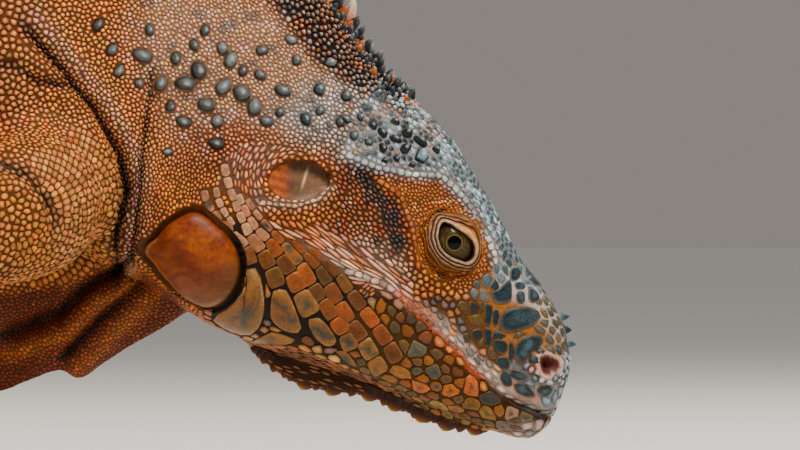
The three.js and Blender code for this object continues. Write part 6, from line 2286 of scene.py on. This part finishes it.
def finish(name, roughness, grain, bump, variation, specular=0.5):
    """A surface coloured by its marking, with colour, gloss and height that vary over `grain` millimetres."""
    material = bpy.data.materials.new(name)
    material.use_nodes = True
    link = material.node_tree.links.new
    shader = material.node_tree.nodes["Principled BSDF"]
    marking = add_node(material, "VertexColor", {})
    marking.layer_name = "marking"
    place = add_node(material, "TexCoord", {})
    mottle = add_node(material, "TexNoise", {"Scale": 1 / (grain * MM), "Detail": 3})
    link(place.outputs["Object"], mottle.inputs["Vector"])
    shade = add_range(material, 0.25, 0.75, 1 - variation, 1 + variation)
    link(mottle.outputs["Fac"], shade.inputs["Value"])
    tint = add_node(material, "Mix", {})
    tint.data_type, tint.blend_type = "RGBA", "MULTIPLY"
    tint.inputs["Factor"].default_value = 1.0
    link(marking.outputs["Color"], tint.inputs["A"])
    link(shade.outputs["Result"], tint.inputs["B"])
    link(tint.outputs["Result"], shader.inputs["Base Color"])
    gloss = add_range(material, 0.3, 0.7, roughness - 0.1, roughness + 0.12)
    link(mottle.outputs["Fac"], gloss.inputs["Value"])
    link(gloss.outputs["Result"], shader.inputs["Roughness"])
    fine = add_node(material, "TexNoise", {"Scale": 2.2 / (grain * MM), "Detail": 4})
    link(place.outputs["Object"], fine.inputs["Vector"])
    height = add_node(material, "Bump", {"Strength": bump, "Distance": 0.25 * MM})
    link(fine.outputs["Fac"], height.inputs["Height"])
    link(height.outputs["Normal"], shader.inputs["Normal"])
    shader.inputs["Specular IOR Level"].default_value = specular
    return material


# ---------------------------------------------------------------- add-on
class IguanaSizes(bpy.types.PropertyGroup):
    """Sizes of the surface details."""

    scale_rise: FloatProperty(
        name="Scale rise", description="How far the scales stand out, as a share of their usual rise",
        default=1.0, min=0.3, max=1.5)
    crest_height: FloatProperty(
        name="Crest height", description="Length of the crest's spines, as a share of the usual",
        default=1.0, min=0.3, max=1.0)
    # Painted shade: how dark the skin in the gaps between the scales is painted.
    skin_shade: FloatProperty(
        name="Groove shade", description="How dark the skin between the scales is against the scales",
        default=0.2, min=0.05, max=1.0)
    floor_radius: FloatProperty(
        name="Floor radius", description="Radius of the pale floor", default=30.0, subtype="DISTANCE",
        unit="LENGTH")


class IguanaColours(bpy.types.PropertyGroup):
    """Colours of the surroundings."""

    floor: FloatVectorProperty(
        name="Floor", description="Colour of the floor", default=(0.78, 0.76, 0.73), subtype="COLOR", size=3,
        min=0.0, max=1.0)
    surroundings: FloatVectorProperty(
        name="Surroundings", description="Colour of the light from all round", default=(0.86, 0.79, 0.72),
        subtype="COLOR", size=3, min=0.0, max=1.0)
    lamps: FloatVectorProperty(
        name="Lamps", description="Colour of the lamps", default=(1.0, 0.94, 0.85), subtype="COLOR", size=3,
        min=0.0, max=1.0)


def dress(piece, material, nodes=()):
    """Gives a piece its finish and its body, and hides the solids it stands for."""
    piece.data.materials.append(material)
    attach(piece, "root")
    if nodes:
        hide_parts(*nodes)


def dress_pair(name, form, material, node):
    """Makes the piece of either side from its form and dresses it."""
    for side_name, side in SIDES:
        piece = make_mesh(f"{name}_{side_name}", *form(side))
        dress(piece, material, [f"{node}_{side_name}"])


def flesh_nodes():
    own = ("eye_", "ear_drum_", "jaw_shield_")
    return [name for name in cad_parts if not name.startswith(own)]


class IGUANA_OT_skin(bpy.types.Operator):
    """Make the one skin over head, neck, trunk, throat, legs and tail, with its lids"""

    bl_idname = "iguana.skin"
    bl_label = "Skin"

    def execute(self, context):
        shade = context.scene.iguana_sizes.skin_shade
        _, skin, lids = body_forms()
        t = body_marks(skin.points)[0]
        colours = painted(skin.points, t, skin.normals)
        bare_share = np.where(t < NAPE, naked(skin.points), 0)[:, None]
        # The skin between the scales is darkened as painted shade in the gaps, and brightened where it shows
        # bare.
        colours = mix(colours * groove_shades(skin.points, t, shade), colours * 1.15, bare_share)
        points, faces, colours = gathered([(skin.points, skin.faces, colours),
                                           (lids.points, lids.faces, lid_colours(lids.points))])
        piece = make_mesh("skin", points, faces, colours)
        dress(piece, finish("skin", 0.6, 0.9, 0.4, 0.35, specular=0.15), flesh_nodes())
        return {"FINISHED"}


class IGUANA_OT_scales(bpy.types.Operator):
    """Make the scales, plates and tubercles over the skin, one piece for each region"""

    bl_idname = "iguana.scales"
    bl_label = "Scales"

    def execute(self, context):
        horny = finish("scale_horn", 0.34, 0.6, 0.4, 0.35, specular=0.2)
        for piece in make_coat(context.scene.iguana_sizes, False):
            dress(piece, horny)
        return {"FINISHED"}


class IGUANA_OT_eyes(bpy.types.Operator):
    """Make both eyes"""

    bl_idname = "iguana.eyes"
    bl_label = "Eyes"

    def execute(self, context):
        wet = finish("eye_wet", 0.14, 0.4, 0.0, 0.12, specular=0.12)
        dress_pair("eyeball", eye_form, wet, "eye")
        return {"FINISHED"}


class IGUANA_OT_ear_drums(bpy.types.Operator):
    """Make both ear drums"""

    bl_idname = "iguana.ear_drums"
    bl_label = "Ear drums"

    def execute(self, context):
        membrane = finish("ear_membrane", 0.42, 0.8, 0.25, 0.25, specular=0.15)
        dress_pair("tympanum", ear_drum_form, membrane, "ear_drum")
        return {"FINISHED"}


class IGUANA_OT_jaw_shields(bpy.types.Operator):
    """Make the large round shield under each ear"""

    bl_idname = "iguana.jaw_shields"
    bl_label = "Jaw shields"

    def execute(self, context):
        shield = finish("shield_horn", 0.4, 0.9, 0.35, 0.3, specular=0.2)
        dress_pair("shield", jaw_shield_form, shield, "jaw_shield")
        return {"FINISHED"}


class IGUANA_OT_crest(bpy.types.Operator):
    """Make the crest's spines along the neck, back and tail"""

    bl_idname = "iguana.crest"
    bl_label = "Crest"

    def execute(self, context):
        horn = finish("crest_horn", 0.45, 1.0, 0.3, 0.2, specular=0.25)
        piece = make_mesh("crest", *crest_spines(context.scene.iguana_sizes.crest_height))
        dress(piece, horn)
        return {"FINISHED"}


class IGUANA_OT_horns(bpy.types.Operator):
    """Make the small horns on the snout, the spikes under the throat and the cones of the nape"""

    bl_idname = "iguana.horns"
    bl_label = "Horns, spikes and cones"

    def execute(self, context):
        horn = finish("small_horn", 0.42, 0.6, 0.3, 0.25, specular=0.2)
        _, skin, _ = body_forms()
        pieces = (("snout_horns", snout_horns(skin)), ("throat_spikes", fringe_spikes()),
                  ("nape_cones", nape_cones(skin)))
        for name, forms in pieces:
            dress(make_mesh(name, *gathered(forms)), horn)
        return {"FINISHED"}


class IGUANA_OT_claws(bpy.types.Operator):
    """Make the claws of all the toes"""

    bl_idname = "iguana.claws"
    bl_label = "Claws"

    def execute(self, context):
        dress(make_mesh("claws", *claws()), finish("claw_horn", 0.3, 0.8, 0.15, 0.15))
        return {"FINISHED"}


class IGUANA_OT_stage(bpy.types.Operator):
    """Make the floor, lights and camera"""

    bl_idname = "iguana.stage"
    bl_label = "Floor, lights and camera"

    def execute(self, context):
        settings, colours = context.scene.iguana_sizes, context.scene.iguana_colours
        mesh = bpy.data.meshes.new("floor")
        radius = settings.floor_radius
        ring = [(math.cos(a) * radius, math.sin(a) * radius, 0) for a in round_angles(FLOOR_CORNERS)]
        mesh.from_pydata(ring, [], [list(range(FLOOR_CORNERS))])
        floor = bpy.data.objects.new("floor", mesh)
        context.scene.collection.objects.link(floor)
        plaster = bpy.data.materials.new("pale_floor")
        plaster.use_nodes = True
        link = plaster.node_tree.links.new
        shader = plaster.node_tree.nodes["Principled BSDF"]
        for name, value in (("Roughness", 0.8), ("Emission Color", (1, 1, 1, 1)), ("Emission Strength", 0.08)):
            shader.inputs[name].default_value = value
        grain = add_node(plaster, "TexNoise", {"Scale": 6.0})
        tones = add_node(plaster, "Mix", {})
        tones.data_type = "RGBA"
        tones.inputs["A"].default_value = (*[c * 0.96 for c in colours.floor], 1)
        tones.inputs["B"].default_value = (*colours.floor, 1)
        place = add_node(plaster, "TexCoord", {})
        link(place.outputs["Object"], grain.inputs["Vector"])
        link(grain.outputs["Fac"], tones.inputs["Factor"])
        link(tones.outputs["Result"], shader.inputs["Base Color"])
        mesh.materials.append(plaster)

        world = bpy.data.worlds.new("soft_room")
        world.use_nodes = True
        background = world.node_tree.nodes["Background"]
        background.inputs["Color"].default_value = (*colours.surroundings, 1)
        background.inputs["Strength"].default_value = 0.3
        context.scene.world = world

        head = Vector(ORIGIN + np.array(VIEW_MIDDLE) * MM)
        for name, offset, size, watts in LIGHTS:
            light = bpy.data.lights.new(name, "AREA")
            light.shape, light.size, light.energy = "DISK", size, watts
            light.color = colours.lamps
            lamp = bpy.data.objects.new(name, light)
            lamp.location = head + Vector(offset)
            lamp.rotation_mode = "QUATERNION"
            lamp.rotation_quaternion = (-Vector(offset)).to_track_quat("-Z", "Y")
            context.scene.collection.objects.link(lamp)

        camera = bpy.data.cameras.new("camera")
        camera.lens, camera.sensor_width = LENS, SENSOR
        camera.clip_start, camera.clip_end = 0.05, 200.0
        camera.dof.use_dof = False
        viewer = bpy.data.objects.new("camera", camera)
        viewer.location = head - Vector((0, CAMERA_DISTANCE, 0))
        viewer.rotation_euler = (math.pi / 2, 0, 0)
        context.scene.collection.objects.link(viewer)
        context.scene.camera = viewer
        return {"FINISHED"}


# Lights: name, place from the middle of the view in metres, diameter, power.
LIGHTS = [
    ("key", (0.5, -1.1, 1.9), 0.7, 78.0),
    ("fill", (-1.7, -1.8, 0.5), 1.4, 9.0),
    ("back", (0.7, 1.2, 1.6), 1.0, 34.0),
]
VIEW_MIDDLE = (-12.5, -28.0, EYE_HEIGHT + 4.5)
FLOOR_CORNERS = 128
SENSOR = 36.0
CAMERA_DISTANCE = 2.4
FRAME_WIDTH = 0.2             # what the picture spans at the near side of the head
LENS = SENSOR * CAMERA_DISTANCE / FRAME_WIDTH

PIECES = [IGUANA_OT_skin, IGUANA_OT_scales, IGUANA_OT_eyes, IGUANA_OT_ear_drums, IGUANA_OT_jaw_shields,
          IGUANA_OT_crest, IGUANA_OT_horns, IGUANA_OT_claws, IGUANA_OT_stage]


class IGUANA_PT_panel(bpy.types.Panel):
    """The iguana's settings and pieces"""

    bl_idname = "IGUANA_PT_panel"
    bl_label = "Iguana"
    bl_space_type = "VIEW_3D"
    bl_region_type = "UI"
    bl_category = "Iguana"

    def draw(self, context):
        for settings in (context.scene.iguana_sizes, context.scene.iguana_colours):
            for name in settings.bl_rna.properties.keys():
                if name not in ("rna_type", "name"):
                    self.layout.prop(settings, name)
        for piece in PIECES:
            self.layout.operator(piece.bl_idname)


CLASSES = [IguanaSizes, IguanaColours, *PIECES, IGUANA_PT_panel]


def register():
    for item in CLASSES:
        bpy.utils.register_class(item)
    bpy.types.Scene.iguana_sizes = PointerProperty(type=IguanaSizes)
    bpy.types.Scene.iguana_colours = PointerProperty(type=IguanaColours)


def unregister():
    del bpy.types.Scene.iguana_sizes
    del bpy.types.Scene.iguana_colours
    for item in reversed(CLASSES):
        bpy.utils.unregister_class(item)


def main():
    register()
    for piece in PIECES:
        package, name = piece.bl_idname.split(".")
        getattr(getattr(bpy.ops, package), name)()


if __name__ == "__main__":
    main()
